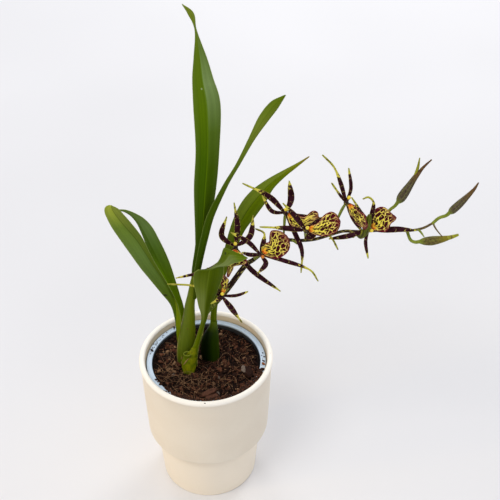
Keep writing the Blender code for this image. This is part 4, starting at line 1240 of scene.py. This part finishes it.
def make_pot():
    """Tapered wall over a narrower foot, with a soft round step and rim."""
    wall_x, wall_z = WALL_FOOT
    inner = wall_x - POT_WALL
    foot = BASE_FOOT_RADIUS - POT_WALL
    ledge_edge = liner_radius(LEDGE) + 0.3
    profile = [(0, 0.6), (BASE_FOOT_RADIUS - 5, 0.6), (BASE_FOOT_RADIUS - 4, 0)]
    profile += arc((BASE_FOOT_RADIUS - 1.6, 1.6), 1.6, -90, 0, 5)
    profile += [(BASE_TOP_RADIUS - 1.6, STEP_HEIGHT - 20), (BASE_TOP_RADIUS - 0.4, STEP_HEIGHT - 3.2)]
    profile += [(BASE_TOP_RADIUS - 0.9, STEP_HEIGHT - 1.6), (BASE_TOP_RADIUS - 0.5, STEP_HEIGHT - 0.4)]
    profile += [(BASE_TOP_RADIUS + 2.2, STEP_HEIGHT)]
    profile += arc((wall_x - 5.2, wall_z - 0.4), 5.2, -85, 0, 8)
    profile += WALL_POINTS
    profile += arc((RIM_RADIUS - RIM_ROUND, POT_HEIGHT - RIM_ROUND), RIM_ROUND, -55, 180, 16)
    profile += [(RIM_RADIUS - POT_WALL - 0.6, 158), (inner, LEDGE + 4), (inner - 1.6, LEDGE + 0.8)]
    profile += [(inner - 4, LEDGE), (ledge_edge, LEDGE), (ledge_edge, LEDGE - 3)]
    profile += [(foot, POT_FLOOR + 3), (foot - 2.5, POT_FLOOR), (0, POT_FLOOR)]
    piece("pot_body", [(lathe(profile, 144), 0)], [pot_look()], ["outer_pot"])


def make_liner():
    """Nursery pot with a flat lip whose two edges are rounded."""
    inner = LINER_NECK_RADIUS - LINER_WALL
    skirt = LINER_LIP_RADIUS - 1.3
    foot = liner_radius(LINER_FLOOR)
    under = LINER_TOP - LINER_WALL
    profile = [(0, LINER_FLOOR), (foot - 1, LINER_FLOOR), (foot, LINER_FLOOR + 1)]
    profile += [(LINER_NECK_RADIUS, LINER_NECK_HEIGHT), (LINER_NECK_RADIUS + 0.2, under), (skirt, under)]
    profile += [(skirt, LINER_TOP - 6.5), (LINER_LIP_RADIUS, LINER_TOP - 6.5)]
    profile += arc((LINER_LIP_RADIUS - 0.8, LINER_TOP - 0.8), 0.8, 0, 90, 5)
    profile += arc((inner + 0.8, LINER_TOP - 0.8), 0.8, 90, 180, 5)
    profile += [(inner, LINER_NECK_HEIGHT), (foot - LINER_WALL, LINER_FLOOR + LINER_WALL)]
    profile += [(0, LINER_FLOOR + LINER_WALL)]
    piece("nursery_pot_body", [(lathe(profile, 128), 0)], [liner_look()], ["nursery_pot"])


def mix_height(x, y):
    """The mix is mounded in the middle, rises again at the edge and is lower at the right."""
    out = math.hypot(x, y) / MIX_EDGE
    return MIX_HEIGHT + MIX_MOUND * math.cos(math.pi / 2 * min(1, out)) + 4.4 * out**5 - 0.02 * x


def ground_shape(draw):
    """The body of the mix under the loose bark: rough on top."""
    sides = 120
    rings = 34
    foot = liner_radius(LINER_FLOOR) - 1.9
    profile = [(0, LINER_FLOOR + 2), (foot, LINER_FLOOR + 2), (MIX_RADIUS - 0.4, 146)]
    profile += [(MIX_RADIUS * (1 - ring / rings), MIX_HEIGHT) for ring in range(rings)]
    points, faces, uvs = lathe(profile + [(0, MIX_HEIGHT)], sides)
    for index in range(1 + 2 * sides, len(points)):
        x, y, _ = points[index]
        points[index] = (x, y, mix_height(x, y) - 0.8 + draw.gauss(0, 0.75))
    return points, faces, uvs


def chunk_shape(x, y, z, size, draw, flat=0.45, turn=None):
    """A split piece of bark: an uneven, tilted wedge with broken corners."""
    turn = draw.uniform(0, 2 * math.pi) if turn is None else turn
    tilt = draw.uniform(-0.6, 0.6)
    lean = draw.uniform(-0.5, 0.5)
    corners = 7
    rings = []
    for level in (-1, -0.4, 0.5, 1):
        ring = []
        shrink = 0.72 if abs(level) == 1 else 1
        for k in range(corners):
            angle = 2 * math.pi * k / corners
            along = size * shrink * math.cos(angle) * draw.uniform(0.8, 1.15)
            over = size * 0.55 * shrink * math.sin(angle) * draw.uniform(0.75, 1.15)
            up = size * flat * level * draw.uniform(0.8, 1.1) + along * tilt + over * lean
            right = along * math.cos(turn) - over * math.sin(turn)
            back = along * math.sin(turn) + over * math.cos(turn)
            ring.append((x + right, y + back, z + up))
        rings.append(ring)
    return skin(rings)


def fibre_shape(x, y, z, length, draw, thick):
    """A dry curved thread that lies on the bark."""
    heading = draw.uniform(0, 2 * math.pi)
    bend = draw.uniform(-0.9, 0.9)
    arch = draw.uniform(0.1, 0.35)
    rows = []
    for k in range(5):
        t = k / 4
        rows.append((x, y, z + arch * length * math.sin(math.pi * t) * 0.5, thick * (1 - 0.5 * t)))
        heading += bend / 4 + draw.uniform(-0.25, 0.25)
        x += length / 4 * math.cos(heading)
        y += length / 4 * math.sin(heading)
        inward = min(1, (MIX_RADIUS - 1.5) / math.hypot(x, y))
        x *= inward
        y *= inward
    return tube(rows, 4, 2)


def in_mix(draw, margin):
    """A random place on the mix, no nearer to its edge than the margin."""
    radius = (MIX_RADIUS - margin) * math.sqrt(draw.random())
    return polar(radius, draw.uniform(0, 2 * math.pi))


def make_mix():
    """Ground, bark chunks of several browns, crumbs and fibres, in one piece."""
    draw = random.Random(SEED)
    parts = [(ground_shape(draw), 0)]
    for count, margin, sizes, heights, flat, shares in STREWN:
        for _ in range(count):
            x, y = in_mix(draw, margin)
            size = draw.uniform(*sizes)
            look = draw.choices((1, 2, 3, 4), shares)[0]
            height = mix_height(x, y) + draw.uniform(*heights)
            parts.append((chunk_shape(x, y, height, size, draw, flat), look))
    count, margin, lengths, heights, widths, shares = FIBRES
    for _ in range(count):
        x, y = in_mix(draw, margin)
        length = draw.uniform(*lengths)
        look = draw.choices((0, 1, 2, 3), shares)[0]
        height = mix_height(x, y) + draw.uniform(*heights)
        parts.append((fibre_shape(x, y, height, length, draw, draw.uniform(*widths)), look))
    count, angles, radii, heights, lengths, thick, look = FIBRE_MAT
    for _ in range(count):
        angle = math.radians(draw.uniform(*angles))
        x, y = polar(draw.uniform(*radii), angle)
        height = mix_height(x, y) + draw.uniform(*heights)
        parts.append((fibre_shape(x, y, height, draw.uniform(*lengths), draw, thick), look))
    for x, y, z, size, flat, turn, look in BIG_CHUNKS:
        parts.append((chunk_shape(x, y, z, size, draw, flat, turn), look))
    piece("potting_mix", parts, [bark_look(*bark) for bark in MIX_BARKS], ["substrate"], 30)


def make_lip_crumbs():
    """Bark that fell on the nursery pot's lip and on the rim."""
    draw = random.Random(SEED + 1)
    spots = []
    for count, middle, spread, radius, aside, sizes in LIP_CRUMBS:
        for _ in range(count):
            angle = math.radians(draw.gauss(middle, spread))
            spots.append((radius + draw.uniform(*aside), angle, draw.uniform(*sizes), 0))
    count, angles, radii, sizes, looks, shares = FRONT_CRUMBS
    for _ in range(count):
        angle = math.radians(draw.uniform(*angles))
        radius = draw.uniform(*radii)
        spots.append((radius, angle, draw.uniform(*sizes), draw.choices(looks, shares)[0]))
    spots += [(radius, math.radians(angle), size, look) for radius, angle, size, look in LIP_CHIPS]
    parts = []
    for radius, angle, size, look in spots:
        height = (LINER_TOP if radius < 65 else POT_HEIGHT - 0.4) + size * 0.4
        parts.append((chunk_shape(*polar(radius, angle), height, size, draw), look))
    piece("lip_crumbs", parts, [bark_look(*bark) for bark in CRUMB_BARKS], [], 30)


def make_bulbs():
    draw = random.Random(SEED + 2)
    dry = bark_look(*DRY_SKIN)
    parts = [(oval_loft(SHEATH, 64, 8, 0.3, 0.012), 0)]
    parts += [(chunk_shape(*knob, draw, 0.7), 1) for knob in KNOBS]
    piece("sheath_skin", parts, [sheath_look(), dry], ["growth_sheath"])
    parts = [(oval_loft(FRONT_BULB, 56, 8, 0.15, 0.015), 0), (oval_loft(SCAR, 40, 5), 1)]
    parts.append((tube(DRY_EDGE, 8, 6), 2))
    piece("front_bulb_skin", parts, [front_bulb_look(), scar_look(), dry], ["bulb_front"])
    parts = [(oval_loft(BACK_BULB, 56, 8, 0.25, 0.006), 0)]
    piece("back_bulb_skin", parts, [back_bulb_look()], ["bulb_back"])


def make_leaves():
    for name, leaf in LEAVES.items():
        shape = leaf_shape(leaf["stations"], leaf["fold"], leaf["ribs"])
        look = leaf_look(f"{name}_green", **LEAF_COLOURS[name])
        piece(f"{name}_blade", [(shape, 0)], [look], [name])
    look = leaf_look("leaf_bent_green", **LEAF_COLOURS["leaf_bent"])
    piece("leaf_bent_blade", [(bent_leaf_shape(), 0)], [look], ["leaf_bent"])


def make_spike():
    shapes = [(tube(RACHIS, 14, 6), 0)]
    for bloom in BLOOMS:
        shapes.append((tube(pedicel_stations(bloom["centre"], bloom["root"]), 12, 6), 1))
        root = np.array(bloom["root"], float)
        toward = unit(np.array(bloom["centre"], float) - root)
        shapes.append((bract_shape(root - toward * 0.5 + FACE * 1.2, toward, 6, 3), 1))
    for bud in BUDS:
        shapes.append((tube(bud_stalk_stations(bud["stalk"], bud["body"]), 12, 6), 1))
    shapes += [(tube(bract, 8, 5), look) for look, bract in BRACTS]
    shapes.append((tube(OVARY, 16, 6), 2))
    piece("stalk_tube", shapes, [stalk_look(), pedicel_look(), ovary_look()], ["flower_spike"])


def make_bloom(number, bloom, looks):
    centre = bloom["centre"]
    angle, roll, outline = bloom["lip"]
    petals = [(tepal_shape(centre, *tepal), 0) for tepal in bloom["tepals"]]
    petals.append((heart_shape(centre), 1))
    skins = [looks["tepal"], looks["heart"]]
    piece(f"flower_{number}_petals", petals, skins, [f"bloom_{number}_tepals"])
    lip = [(lip_shape(centre, angle, roll, outline), 0)]
    lip += [(ridge, 1) for ridge in callus_shapes(centre, angle, roll, bloom.get("callus", 0))]
    skins = [lip_look(number, *NETS[number - 1]), looks["callus"]]
    piece(f"flower_{number}_lip", lip, skins, [f"bloom_{number}_lip"], 70)
    column = [(column_shape(centre, bloom["column"]), 0)]
    cap = looks[bloom.get("cap", "yellow_cap")]
    piece(f"flower_{number}_column", column, [cap], [f"bloom_{number}_column"])


def make_bud(number, bud, looks):
    parts = [(tube(bud["body"], 24, 8), 0)] + [(tube(beak, 14, 8), look) for look, beak in bud["beaks"]]
    piece(f"bud_{number}_skin", parts, looks, [f"bud_{number}"])


def make_flowers():
    looks = dict(tepal=tepal_look(), heart=heart_look(), callus=callus_look())
    looks["yellow_cap"] = column_look("yellow_cap", (240, 208, 40), (248, 224, 76))
    looks["orange_cap"] = column_look("orange_cap", (150, 60, 16), (216, 130, 36))
    for number, bloom in enumerate(BLOOMS, 1):
        make_bloom(number, bloom, looks)


def make_buds():
    brown = bud_look("bud_brown", (54, 44, 36), (100, 88, 70), (108, 76, 40))
    olive = bud_look("bud_olive", (68, 54, 34), (118, 108, 54), (136, 124, 34))
    beaks = [
        beak_look("beak_green", (136, 136, 36), (164, 164, 52), (104, 88, 46)),
        beak_look("beak_brown", (74, 52, 34), (106, 76, 46), (116, 102, 48)),
    ]
    for number, bud in enumerate(BUDS, 1):
        make_bud(number, bud, [olive if bud.get("olive") else brown, *beaks])


def make_floor():
    mesh = bpy.data.meshes.new("floor")
    mesh.from_pydata(FLOOR_CORNERS, [], [(0, 1, 2, 3)])
    mesh.materials.append(floor_look())
    place_object("floor", mesh)


def add_lamp(light, place, target, power, colour):
    light.energy = power
    light.color = colour
    lamp = place_object(light.name, light)
    lamp.location = place
    lamp.rotation_euler = (Vector(target) - Vector(place)).to_track_quat("-Z", "Y").to_euler()


def make_lights():
    """Disc lamps, a soft warm spot on the pot from the left, and a pale sky."""
    world = bpy.data.worlds.new("studio")
    world.use_nodes = True
    sky = world.node_tree.nodes["Background"]
    sky.inputs["Color"].default_value = SKY_COLOUR
    sky.inputs["Strength"].default_value = SKY_STRENGTH
    bpy.context.scene.world = world
    for name, place, target, size, power, colour in LAMPS:
        light = bpy.data.lights.new(name, "AREA")
        light.shape = "DISK"
        light.size = size
        add_lamp(light, place, target, power, colour)
    spot = bpy.data.lights.new("warm", "SPOT")
    spot.spot_size = SPOT_CONE
    spot.spot_blend = 1
    spot.shadow_soft_size = SPOT_SIZE
    add_lamp(spot, *SPOT)


def make_camera():
    lens = bpy.data.cameras.new("camera")
    lens.lens = CAMERA_LENS
    lens.sensor_width = 36
    camera = place_object("camera", lens)
    camera.location = CAMERA_PLACE
    camera.rotation_euler = (CAMERA_PITCH, 0, 0)
    bpy.context.scene.camera = camera


bpy.context.scene.view_settings.view_transform = "Standard"
make_camera()
make_lights()
make_floor()
make_pot()
make_liner()
make_mix()
make_lip_crumbs()
make_bulbs()
make_leaves()
make_spike()
make_flowers()
make_buds()
